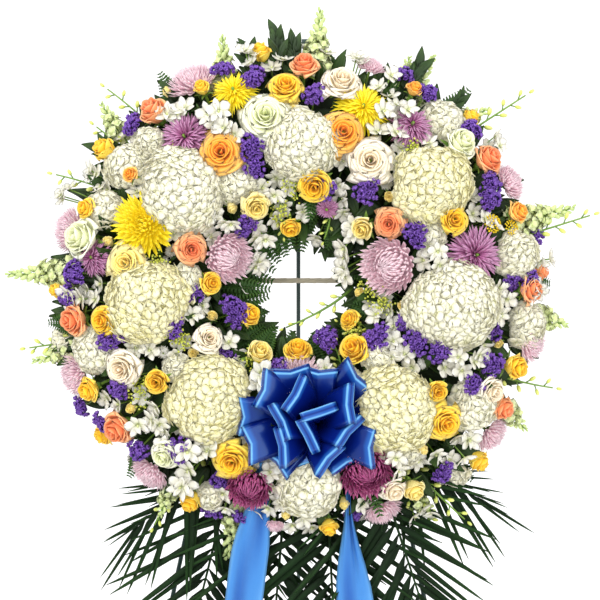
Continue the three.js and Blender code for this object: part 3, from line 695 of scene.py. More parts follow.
def palm_spray(root: np.ndarray, tip: np.ndarray, reach: float, rng: np.random.Generator) -> Surface:
    """A palm frond: long narrow folded leaflets in two rows down a midrib.

    A leaflet leaves the rib at an angle that closes towards the tip and its length is greatest
    a third of the way along; the row on the upper side is shorter and lies closer to the rib.
    """
    path = arc_path(root, tip, np.array([0.0, 0.0, 0.006]), 14)
    count = 7 + int(np.linalg.norm(tip - root) / 0.025)
    share = np.linspace(0.03, 0.98, count)
    centre = along_path(path, share)
    along = (tip - root) / np.linalg.norm(tip - root)
    out = np.array([0.0, 0.0, 1.0])
    leaflet = Blade(1.0, 0.064, Outline.NEEDLE, 0.14, 0.6, 0, 0.004, 3, 9).surface()
    parts = [tube(path, np.linspace(0.0034, 0.0012, len(path)))]
    for side in (-1.0, 1.0):
        across = np.cross(along, out) * side
        spread = 1 - 0.45 * max(float(across[1]), 0.0)
        open_angle = np.radians((68 - 60 * share**1.6) * spread + rng.uniform(-9, 9, count))[:, None]
        way = across * np.sin(open_angle) + along * np.cos(open_angle)
        way = way + out * rng.uniform(-0.05, 0.05, count)[:, None]
        way /= np.linalg.norm(way, axis=1, keepdims=True)
        normal = out - way * (way @ out)[:, None]
        normal /= np.linalg.norm(normal, axis=1, keepdims=True)
        turns = np.stack([np.cross(way, normal), way, normal], -1)
        swell = 0.55 + 0.45 * np.sin(math.pi * (0.15 + 0.8 * share))
        size = reach * spread * swell * rng.uniform(0.85, 1.08, count)
        parts.append(repeated(leaflet, turns, centre, rng.uniform(0, 1, count), size))
    return joined(parts)


# ---------------------------------------------------------------- finishes


def linear(colour: tuple[float, float, float]) -> tuple[float, float, float, float]:
    """A colour of 0 to 255 steps as the linear numbers that shaders take."""
    share = [c / 255 for c in colour]
    return (*[c / 12.92 if c <= 0.04045 else ((c + 0.055) / 1.055) ** 2.4 for c in share], 1.0)


def new_group(name: str, inputs: dict[str, float], outputs: list[str]) -> bpy.types.NodeTree:
    """An empty shader group with float inputs at their defaults and the named outputs."""
    group = bpy.data.node_groups.new(name, "ShaderNodeTree")
    for label, value in inputs.items():
        socket = group.interface.new_socket(label, in_out="INPUT", socket_type="NodeSocketFloat")
        socket.default_value = value
    for label in outputs:
        group.interface.new_socket(label, in_out="OUTPUT", socket_type="NodeSocketFloat")
    return group


def math_node(tree: bpy.types.NodeTree, kind: str, a: object, b: object) -> bpy.types.NodeSocket:
    """Adds a Math node; a and b are sockets or numbers.

    Returns:
        The node's output socket.
    """
    node = tree.nodes.new("ShaderNodeMath")
    node.operation = kind
    for socket, value in zip(node.inputs, (a, b)):
        if isinstance(value, bpy.types.NodeSocket):
            tree.links.new(value, socket)
        else:
            socket.default_value = value
    return node.outputs[0]


def mottle_group() -> bpy.types.NodeTree:
    """Soft uneven shading: noise over the object, brought between two levels."""
    group = new_group("mottle", {"Scale": 60.0, "Low": 0.85, "High": 1.0}, ["Value"])
    enter, leave = group.nodes.new("NodeGroupInput"), group.nodes.new("NodeGroupOutput")
    place, noise = group.nodes.new("ShaderNodeTexCoord"), group.nodes.new("ShaderNodeTexNoise")
    noise.inputs["Detail"].default_value = 3.0
    group.links.new(place.outputs["Object"], noise.inputs["Vector"])
    group.links.new(enter.outputs["Scale"], noise.inputs["Scale"])
    span = math_node(group, "SUBTRACT", enter.outputs["High"], enter.outputs["Low"])
    raised = math_node(group, "MULTIPLY", noise.outputs["Fac"], span)
    group.links.new(math_node(group, "ADD", raised, enter.outputs["Low"]), leave.inputs["Value"])
    return group


def place_group() -> bpy.types.NodeTree:
    """Where a point lies on its petal or leaf: across, along and the piece's own tone."""
    group = new_group("petal_place", {}, ["Across", "Along", "Tone"])
    leave, stored = group.nodes.new("NodeGroupOutput"), group.nodes.new("ShaderNodeAttribute")
    # On the ribbons the along carries painted sheen and crease highlights, and on the bow the tone carries
    # painted shade towards the knot.
    stored.attribute_name = "petal"
    split = group.nodes.new("ShaderNodeSeparateXYZ")
    group.links.new(stored.outputs["Vector"], split.inputs[0])
    for label, axis in zip(("Across", "Along", "Tone"), split.outputs):
        group.links.new(axis, leave.inputs[label])
    return group


def vein_group() -> bpy.types.NodeTree:
    """Fine ridges that run along a petal and spread from its base, as a height."""
    group = new_group("veins", {"Across": 0.0, "Along": 0.0, "Count": 14.0}, ["Height"])
    enter, leave = group.nodes.new("NodeGroupInput"), group.nodes.new("NodeGroupOutput")
    fan = math_node(group, "MULTIPLY", enter.outputs["Across"], enter.outputs["Count"])
    bent = math_node(group, "ADD", fan, math_node(group, "MULTIPLY", enter.outputs["Along"], 2.0))
    wave = math_node(group, "SINE", bent, 0.0)
    group.links.new(math_node(group, "MULTIPLY", wave, 0.5), leave.inputs["Height"])
    return group


GROUPS = {"mottle": mottle_group(), "place": place_group(), "veins": vein_group()}


@dataclass(frozen=True)
class Finish:
    """A surface finish: three colours from base to tip, mottled, veined and toned.

    base, middle and tip are colours of 0 to 255 steps; by_tone runs the colours from a
    flower's heart to its rim instead of along each petal; fade is how much low tones darken
    the colour, which is natural variation where the tone is drawn by chance and painted shade
    on a hydrangea's lower florets and on the bow's loops towards the knot; glow is the share of
    light that passes into a petal and out again; shine is painted light, a glow of the tip's
    colour given off, which stands for light that comes through thin petals.
    """

    name: str
    base: tuple[float, float, float]
    middle: tuple[float, float, float]
    tip: tuple[float, float, float]
    roughness: float = 0.55
    by_tone: float = 0.0
    variation_and_shade: float = 0.2
    veins: float = 14.0
    bump: float = 0.15
    mottle: float = 0.12
    mottle_scale: float = 70.0
    sheen: float = 0.0
    specular: float = 0.4
    metallic: float = 0.0
    glow: float = 0.0
    coat: float = 0.0
    painted_glow: float = 0.0
    tint: tuple[float, float, float] = (255, 255, 255)
    grain: float = 900.0

    def material(self) -> bpy.types.Material:
        """Builds the material, once for each name."""
        made = bpy.data.materials.get(self.name)
        if made:
            return made
        made = bpy.data.materials.new(self.name)
        made.use_nodes = True
        tree = made.node_tree
        shader = tree.nodes["Principled BSDF"]
        groups = {key: tree.nodes.new("ShaderNodeGroup") for key in GROUPS}
        for key, node in groups.items():
            node.node_tree = GROUPS[key]
        place, mottle, veins = groups["place"], groups["mottle"], groups["veins"]
        mottle.inputs["Scale"].default_value = self.mottle_scale
        mottle.inputs["Low"].default_value = 1 - 2 * self.mottle
        mottle.inputs["High"].default_value = 1 + self.mottle
        run = math_node(tree, "MULTIPLY", place.outputs["Along"], 1 - self.by_tone)
        across_flower = math_node(tree, "MULTIPLY", place.outputs["Tone"], self.by_tone)
        ramp = tree.nodes.new("ShaderNodeValToRGB")
        ramp.color_ramp.interpolation = "EASE"
        stops = ramp.color_ramp.elements
        stops[0].color, stops[1].color = linear(self.base), linear(self.tip)
        stops.new(0.45).color = linear(self.middle)
        tree.links.new(math_node(tree, "ADD", run, across_flower), ramp.inputs["Fac"])
        # Low tones darken the colour: painted shade on a hydrangea's lower florets and on the bow's loops
        # towards the knot, natural variation where the tone is drawn by chance.
        depth = math_node(tree, "MULTIPLY", place.outputs["Tone"], self.variation_and_shade)
        shade = math_node(tree, "ADD", depth, 1 - self.variation_and_shade)
        light = math_node(tree, "MULTIPLY", shade, mottle.outputs["Value"])
        mix = tree.nodes.new("ShaderNodeMix")
        mix.data_type, mix.blend_type = "RGBA", "MULTIPLY"
        mix.inputs["Factor"].default_value = 1.0
        tree.links.new(ramp.outputs["Color"], mix.inputs["A"])
        tree.links.new(light, mix.inputs["B"])
        tree.links.new(mix.outputs["Result"], shader.inputs["Base Color"])
        veins.inputs["Count"].default_value = self.veins
        tree.links.new(place.outputs["Across"], veins.inputs["Across"])
        tree.links.new(place.outputs["Along"], veins.inputs["Along"])
        coords, grain = tree.nodes.new("ShaderNodeTexCoord"), tree.nodes.new("ShaderNodeTexNoise")
        grain.inputs["Scale"].default_value = self.grain
        tree.links.new(coords.outputs["Object"], grain.inputs["Vector"])
        grains = math_node(tree, "MULTIPLY", grain.outputs["Fac"], 0.6)
        height = math_node(tree, "ADD", veins.outputs["Height"], grains)
        bump = tree.nodes.new("ShaderNodeBump")
        bump.inputs["Strength"].default_value = self.bump
        bump.inputs["Distance"].default_value = 0.0006
        tree.links.new(height, bump.inputs["Height"])
        tree.links.new(bump.outputs["Normal"], shader.inputs["Normal"])
        rough = math_node(tree, "MULTIPLY", grain.outputs["Fac"], 0.12)
        tree.links.new(math_node(tree, "ADD", rough, self.roughness - 0.06), shader.inputs["Roughness"])
        shader.inputs["Sheen Weight"].default_value = self.sheen
        shader.inputs["Specular IOR Level"].default_value = self.specular
        shader.inputs["Specular Tint"].default_value = linear(self.tint)
        shader.inputs["Metallic"].default_value = self.metallic
        # Painted glow: the surface gives off light of its tip colour, standing in for light that comes through
        # thin petals; on the studio paper it keeps the backdrop evenly bright.
        shader.inputs["Emission Color"].default_value = linear(self.tip)
        shader.inputs["Emission Strength"].default_value = self.painted_glow
        shader.inputs["Coat Weight"].default_value = self.coat
        shader.inputs["Coat Roughness"].default_value = 0.12
        shader.inputs["Subsurface Weight"].default_value = self.glow
        shader.inputs["Subsurface Radius"].default_value = (1.0, 0.8, 0.5)
        shader.inputs["Subsurface Scale"].default_value = GLOW_DEPTH
        return made


def petals(name: str, heart: tuple, middle: tuple, rim: tuple, **more: float) -> Finish:
    """A rose's finish, whose colours run from the heart to the rim."""
    return Finish(
        name, heart, middle, rim, by_tone=0.72, variation_and_shade=0.04, sheen=0.12, glow=0.1, painted_glow=0.045, **more
    )


HYDRANGEA = Finish(
    "hydrangea_petal", (210, 209, 160), (222, 219, 192), (229, 226, 206),
    variation_and_shade=0.06, mottle=0.03, mottle_scale=22.0, bump=0.04, glow=0.08, specular=0.1, painted_glow=0.17,
)
HYDRANGEA_WARM = replace(
    HYDRANGEA, name="hydrangea_warm_petal", base=(214, 208, 136), middle=(226, 220, 172), tip=(232, 227, 190),
)
LEMON = Finish("lemon_petal", (255, 204, 0), (255, 224, 8), (255, 234, 50), variation_and_shade=0.04, glow=0.08, painted_glow=0.14)
MAUVE = Finish("mauve_petal", (140, 50, 110), (180, 98, 150), (214, 156, 196), variation_and_shade=0.2, glow=0.08)
MAGENTA = Finish("magenta_petal", (116, 18, 72), (160, 44, 108), (198, 92, 150), variation_and_shade=0.25, glow=0.08)
LAVENDER = Finish(
    "lavender_petal", (216, 150, 182), (238, 190, 206), (250, 222, 230), variation_and_shade=0.06, glow=0.08, painted_glow=0.09,
)
LILAC = Finish(
    "lilac_petal", (214, 160, 170), (234, 192, 200), (244, 218, 224), variation_and_shade=0.12, glow=0.08, painted_glow=0.07,
)
STATICE = Finish("statice_petal", (72, 34, 132), (108, 60, 170), (146, 104, 204), variation_and_shade=0.25, roughness=0.7)
ORCHID = Finish(
    "orchid_petal", (204, 212, 140), (226, 223, 206), (234, 232, 222), roughness=0.45, variation_and_shade=0.05, glow=0.08,
    painted_glow=0.07,
)
BUD_GREEN = Finish("orchid_bud", (186, 198, 84), (210, 220, 110), (228, 232, 146), roughness=0.4, variation_and_shade=0.12)
SNAPDRAGON = Finish(
    "snapdragon_floret", (250, 248, 222), (214, 226, 160), (126, 162, 70), by_tone=0.85, variation_and_shade=0.0, glow=0.08,
)
BUTTON = Finish("button_knob", (236, 186, 0), (252, 216, 20), (255, 226, 50), variation_and_shade=0.15)
FILLER = Finish("filler_floret", (120, 140, 40), (178, 190, 60), (210, 214, 90), variation_and_shade=0.2)
DAISY = Finish("tiny_daisy", (250, 230, 90), (246, 244, 232), (250, 249, 242), variation_and_shade=0.1, glow=0.08)
STALK = Finish("green_stalk", (70, 104, 34), (98, 136, 46), (122, 158, 60), roughness=0.5)
LEAF = Finish(
    "glossy_leaf", (24, 46, 14), (38, 66, 20), (60, 92, 30),
    roughness=0.46, variation_and_shade=0.5, bump=0.5, mottle=0.25, mottle_scale=30.0, specular=0.3,
)
FERN = Finish("fern_leaf", (36, 68, 20), (50, 88, 28), (74, 112, 38), roughness=0.55, variation_and_shade=0.3, specular=0.3)
PALM = Finish(
    "palm_leaflet", (14, 38, 12), (20, 50, 16), (38, 74, 28),
    roughness=0.5, variation_and_shade=0.5, veins=22.0, bump=0.5, specular=0.15,
)
BED = Finish(
    "packed_greenery", (16, 28, 10), (26, 44, 16), (36, 56, 20), roughness=0.85, mottle=0.45, bump=0.9,
)
# The bow's tip colour is the painted highlight at the creases, and its tone darkening is painted shade towards
# the knot.
BOW_SATIN = Finish(
    "bow_cloth", (5, 26, 112), (24, 76, 156), (108, 170, 218),
    roughness=0.24, variation_and_shade=0.75, veins=150.0, bump=0.03, mottle=0.03, specular=0.7, coat=0.25,
    tint=(120, 185, 255),
)
# The tails' colours run from painted shade to painted sheen.
TAIL_SATIN = Finish(
    "tail_cloth", (30, 78, 156), (60, 122, 190), (116, 174, 220),
    roughness=0.30, variation_and_shade=0.0, veins=150.0, bump=0.03, mottle=0.03, specular=0.6, coat=0.2,
    tint=(150, 205, 255),
)
ENAMEL = Finish(
    "easel_enamel", (26, 58, 52), (30, 64, 58), (26, 58, 52), roughness=0.35, mottle=0.08, veins=0.0,
)
ZINC = Finish("zinc_steel", (150, 155, 154), (165, 170, 168), (150, 155, 154), roughness=0.35, metallic=1.0)
RUBBER = Finish("foot_rubber", (26, 26, 26), (30, 30, 30), (26, 26, 26), roughness=0.8, mottle=0.2)
TRAY = Finish(
    "moulded_tray", (20, 60, 34), (24, 68, 38), (20, 60, 34), roughness=0.45, mottle=0.05, veins=0.0,
)
FOAM = Finish("foam_crumb", (36, 96, 46), (42, 106, 52), (36, 96, 46), roughness=0.95, bump=1.0, grain=1500.0)
WRAPPING = Finish(
    "bar_tape", (178, 166, 140), (206, 196, 172), (190, 178, 152),
    roughness=0.85, mottle=0.1, veins=40.0, bump=0.5,
)


class Tint(Enum):
    """The roses' colours, each with its finish and a slot's name."""

    YELLOW = (petals("rose_yellow", (255, 158, 10), (255, 204, 36), (255, 222, 84)), "yellow_petals")
    PALE = (petals("rose_pale_yellow", (252, 212, 86), (254, 230, 128), (254, 240, 170)), "yellow_petals")
    GOLD = (petals("rose_gold", (255, 124, 8), (255, 172, 46), (255, 202, 104)), "golden_petals")
    CORAL = (petals("rose_coral", (244, 88, 44), (250, 142, 88), (253, 190, 132)), "coral_petals")
    CREAM = (petals("rose_cream", (250, 214, 172), (253, 238, 208), (254, 246, 228)), "cream_petals")
    WHITE = (petals("rose_green_white", (232, 240, 168), (244, 247, 204), (250, 251, 228)), "green_white_petals")


# ---------------------------------------------------------------- putting meshes into Blender


@dataclass
class Bench:
    """Makes finished pieces: meshes in the room, riding on a body, with their finishes."""

    plane: Plane
    made: int = 0
    taken: list["Spot"] = field(default_factory=list)

    def piece(self, name: str, surface: Surface, finishes: list[Finish], slot: str) -> bpy.types.Object:
        """Puts a surface into a new object that rides on the holder.

        Args:
            name: the piece's name.
            surface: its shape, in the ring's plane.
            finishes: its finishes, in the order of the surface's paint numbers.
            slot: a material slot's name; not used.

        Returns:
            The new object, at the origin.
        """
        mesh = bpy.data.meshes.new(name)
        points = self.plane.to_room(surface.points)
        count = len(surface.faces)
        mesh.vertices.add(len(points))
        mesh.vertices.foreach_set("co", points.astype(np.float32).ravel())
        mesh.loops.add(count * 4)
        mesh.loops.foreach_set("vertex_index", surface.faces.astype(np.int32).ravel())
        mesh.polygons.add(count)
        mesh.polygons.foreach_set("loop_start", np.arange(count, dtype=np.int32) * 4)
        mesh.polygons.foreach_set("material_index", surface.paint.astype(np.int32))
        mesh.polygons.foreach_set("use_smooth", np.ones(count, bool))
        mesh.update(calc_edges=True)
        layout = mesh.uv_layers.new(name="OFBake")
        layout.uv.foreach_set("vector", surface.corners.astype(np.float32).ravel())
        stored = mesh.attributes.new("petal", "FLOAT_VECTOR", "POINT")
        stored.data.foreach_set("vector", surface.petal.astype(np.float32).ravel())
        for finish in finishes:
            mesh.materials.append(finish.material())
        thing = bpy.data.objects.new(name, mesh)
        bpy.context.scene.collection.objects.link(thing)
        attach(thing, HOLDER)
        self.made += count * 2
        return thing


@dataclass(frozen=True)
class Spot:
    """A flower's place in the plan: clock hour, distance from the middle and size, in mm.

    lift is how many metres the head stands proud of the arch.
    """

    hour: float
    away: float
    size: float
    lift: float = 0.0

    def centre(self) -> np.ndarray:
        """The head's middle in the plane."""
        return on_face(self.hour, self.away * MM, head_level(self.away * MM) + self.lift)

    def face(self) -> np.ndarray:
        """The way the head faces."""
        return facing(self.hour, self.away * MM)

    def foot(self) -> np.ndarray:
        """The stem's end in the foam."""
        return foam_point(self.hour, self.away * MM)


def corners_of(node: str, plane: Plane) -> np.ndarray:
    """The corners of a framed solid, in the plane."""
    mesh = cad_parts[node].data
    flat = np.empty(len(mesh.vertices) * 3, np.float32)
    mesh.vertices.foreach_get("co", flat)
    return plane.from_room(flat.reshape(-1, 3).astype(float))


def spot_of(node: str, plane: Plane, lift: float = 0.0) -> Spot:
    """A framed flower's place and size, from the widest part of its solid.

    Args:
        node: the flower's node.
        plane: the ring's plane.
        lift: how far its head stands proud of the arch.

    Returns:
        Its spot, with the head's radius as the size.
    """
    places = corners_of(node, plane)
    crown = places[places[:, 2] > places[:, 2].max() - 34 * MM][:, :2]
    low, high = crown.min(0), crown.max(0)
    middle = (low + high) / 2
    hour = (math.atan2(middle[0], middle[1]) / TURN * 12) % 12
    return Spot(hour, float(np.linalg.norm(middle)) / MM, float((high - low).max()) / 2 / MM, lift)


# ---------------------------------------------------------------- the flowers


@dataclass
class Hydrangeas:
    """The big cream heads of the frame, and smaller ones between them near the edge."""

    bench: Bench
    warm: tuple[int, ...] = (2, 4, 6, 7)
    small: tuple[Spot, ...] = (
        Spot(2.7, 370, 38), Spot(4.1, 348, 44), Spot(8.45, 352, 38), Spot(1.35, 372, 34),
        Spot(10.2, 350, 38), Spot(3.3, 388, 36), Spot(11.0, 205, 32), Spot(9.75, 348, 30),
    )

    def build(self) -> None:
        """Makes every head, each in place of its plain solid."""
        for number in range(1, 9):
            node = f"hydrangea_{number}"
            finish = HYDRANGEA_WARM if number in self.warm else HYDRANGEA
            spot = spot_of(node, self.bench.plane)
            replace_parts(self.head(f"hydrangea_head_{number}", spot, finish, SEED + number), node)
        for number, spot in enumerate(self.small, 9):
            self.head(f"hydrangea_head_{number}", replace(spot, lift=-12 * MM), HYDRANGEA, SEED + number)

    def head(self, name: str, spot: Spot, finish: Finish, seed: int) -> bpy.types.Object:
        """Makes one head with its stem."""
        rng = np.random.default_rng(seed)
        self.bench.taken.append(spot)
        shape = hydrangea_head(spot.size * MM * 1.04, rng)
        whole = planted(shape, spot.centre(), spot.face(), rng.uniform(0, TURN), spot.foot(), 0.0035)
        return self.bench.piece(name, whole, [finish, STALK], "hydrangea_petals")


@dataclass
class Roses:
    """Roses and rosebuds: the framed ones, then the rest of the plan by colour."""

    bench: Bench
    framed: tuple[tuple[str, Tint, float], ...] = (
        ("rose_white", Tint.WHITE, 0.95), ("rose_golden", Tint.GOLD, 0.9), ("rose_cream", Tint.CREAM, 0.95),
        ("rose_amber", Tint.GOLD, 0.95), ("rose_yellow_top", Tint.YELLOW, 0.85),
        ("rose_yellow_left", Tint.PALE, 0.95), ("rose_orange", Tint.CORAL, 0.85),
        ("rose_coral", Tint.CORAL, 0.9), ("rose_gold_right", Tint.YELLOW, 0.95),
        ("rose_gold_left", Tint.YELLOW, 0.9),
    )

    def plan(self) -> dict[Tint, list[tuple[float, float, float, float]]]:
        """The other roses by colour, as (hour, distance, radius, openness)."""
        return {
            Tint.YELLOW: [
                (11.7, 405, 23, 0.4), (10.2, 400, 28, 0.3), (9.0, 405, 19, 0.3), (8.7, 325, 26, 0.7),
                (8.15, 388, 24, 0.6), (9.15, 143, 22, 0.5), (0.3, 172, 33, 0.5), (2.2, 280, 25, 0.7),
                (1.5, 412, 21, 0.4), (3.65, 384, 28, 0.4), (4.2, 282, 22, 0.4), (4.45, 420, 25, 0.4),
                (6.9, 398, 24, 0.4), (11.15, 372, 18, 0.4), (9.7, 378, 21, 0.6), (7.78, 412, 22, 0.7),
                (7.9, 276, 25, 0.4), (11.75, 104, 22, 0.4), (5.75, 402, 20, 0.5), (8.1, 92, 26, 0.4),
                (4.55, 134, 32, 0.45), (4.0, 98, 20, 0.6), (6.0, 100, 28, 0.45),
            ],
            Tint.PALE: [
                (11.1, 152, 25, 0.7), (1.55, 146, 26, 0.3), (7.05, 122, 29, 0.3), (5.0, 385, 24, 0.4),
            ],
            Tint.GOLD: [(10.15, 336, 16, 0.5), (1.0, 388, 17, 0.5), (2.35, 390, 22, 0.6)],
            Tint.CORAL: [
                (12.05, 374, 27, 0.6), (10.7, 384, 30, 0.4), (8.75, 378, 30, 0.6), (1.85, 386, 30, 0.6),
                (4.0, 394, 27, 0.4), (3.0, 390, 26, 0.6), (7.75, 380, 31, 0.6), (2.86, 412, 18, 0.4),
            ],
            Tint.CREAM: [
                (0.4, 352, 32, 0.8), (8.2, 318, 30, 0.8), (8.05, 166, 23, 0.8), (5.15, 368, 25, 0.6),
                (3.92, 362, 26, 0.7),
            ],
            Tint.WHITE: [(9.45, 372, 37, 0.6), (1.6, 364, 32, 0.5), (7.3, 352, 26, 0.7)],
        }

    def build(self) -> None:
        """Makes every rose."""
        number = 0
        for node, tint, openness in self.framed:
            spot = spot_of(node, self.bench.plane, ROSE_LIFT)
            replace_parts(self.rose(f"{node}_bloom", spot, tint, openness, SEED + number), node)
            number += 1
        for tint, rows in self.plan().items():
            for hour, away, radius, openness in rows:
                number += 1
                name = f"{tint.name.lower()}_rose_{number}"
                self.rose(name, Spot(hour, away, radius * 1.12, ROSE_LIFT), tint, openness, SEED + number)

    def rose(self, name: str, spot: Spot, tint: Tint, openness: float, seed: int) -> bpy.types.Object:
        """Makes one rose with its sepals and stem."""
        rng = np.random.default_rng(seed)
        finish, slot = tint.value
        radius = spot.size * MM
        shape = rose_head(radius, radius * (1.70 - 0.45 * openness), openness, rng)
        self.bench.taken.append(spot)
        whole = planted(shape, spot.centre(), spot.face(), rng.uniform(0, TURN), spot.foot(), 0.0026)
        return self.bench.piece(name, whole, [finish, STALK], slot)


@dataclass
class Chrysanthemums:
    """Chrysanthemums: the framed ones, then the rest of the plan, and two button flowers."""

    bench: Bench
    framed: tuple[tuple[str, Finish, str, float], ...] = (
        ("spider_mum_yellow", LEMON, "lemon_petals", 0.35),
        ("mum_lavender_left", LAVENDER, "lavender_petals", 0.0),
        ("mum_lavender_right", LAVENDER, "lavender_petals", 0.0),
        ("mum_lilac_low", LILAC, "lavender_petals", 0.3),
        ("mum_mauve_right", MAUVE, "mauve_petals", 0.75),
        ("mum_mauve_top", MAUVE, "mauve_petals", 0.75),
        ("mum_magenta_left", MAGENTA, "magenta_petals", 0.0),
        ("mum_magenta_right", MAGENTA, "magenta_petals", 0.0),
    )

    def plan(self) -> list[tuple[Finish, str, float, tuple[Spot, ...]]]:
        """The other chrysanthemums: finish, slot, how spidery, and their spots."""
        pale = (
            Spot(11.1, 398, 40), Spot(9.5, 404, 36), Spot(8.3, 408, 38), Spot(7.3, 400, 33),
            Spot(2.1, 404, 31),
            Spot(3.42, 408, 34), Spot(4.22, 414, 32), Spot(5.3, 402, 30), Spot(0.6, 398, 22),
            Spot(6.2, 400, 17),
        )
        return [
            (LEMON, "lemon_petals", 0.8, (Spot(11.4, 352, 36), Spot(0.65, 324, 44))),
            (MAUVE, "mauve_petals", 0.9, (Spot(9.3, 348, 30), Spot(1.15, 336, 36), Spot(0.65, 140, 18))),
            (LAVENDER, "lavender_petals", 0.3, pale),
        ]

    def build(self) -> None:
        """Makes every chrysanthemum and button flower."""
        for number, (node, finish, slot, spider) in enumerate(self.framed):
            spot = spot_of(node, self.bench.plane, MUM_LIFT)
            bloom = self.mum(f"{node}_bloom", spot, finish, slot, spider, SEED + number)
            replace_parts(bloom, node)
        number = 0
        for finish, slot, spider, spots in self.plan():
            for spot in spots:
                number += 1
                name = f"{finish.name.split('_')[0]}_mum_{number}"
                self.mum(name, replace(spot, lift=MUM_LIFT), finish, slot, spider, 2 * SEED + number)
        for number, spot in enumerate((Spot(2.37, 340, 15), Spot(2.46, 370, 14)), 1):
            shape = button_head(spot.size * MM)
            whole = planted(shape, spot.centre(), spot.face(), 0.0, spot.foot(), 0.0015)
            self.bench.piece(f"button_flower_{number}", whole, [BUTTON, STALK], "lemon_petals")

    def mum(
        self, name: str, spot: Spot, finish: Finish, slot: str, spider: float, seed: int
    ) -> bpy.types.Object:
        """Makes one chrysanthemum with its stem."""
        rng = np.random.default_rng(seed)
        self.bench.taken.append(spot)
        shape = mum_head(spot.size * MM * 1.08, rng, spider)
        whole = planted(shape, spot.centre(), spot.face(), rng.uniform(0, TURN), spot.foot(), 0.0026)
        return self.bench.piece(name, whole, [finish, STALK], slot)


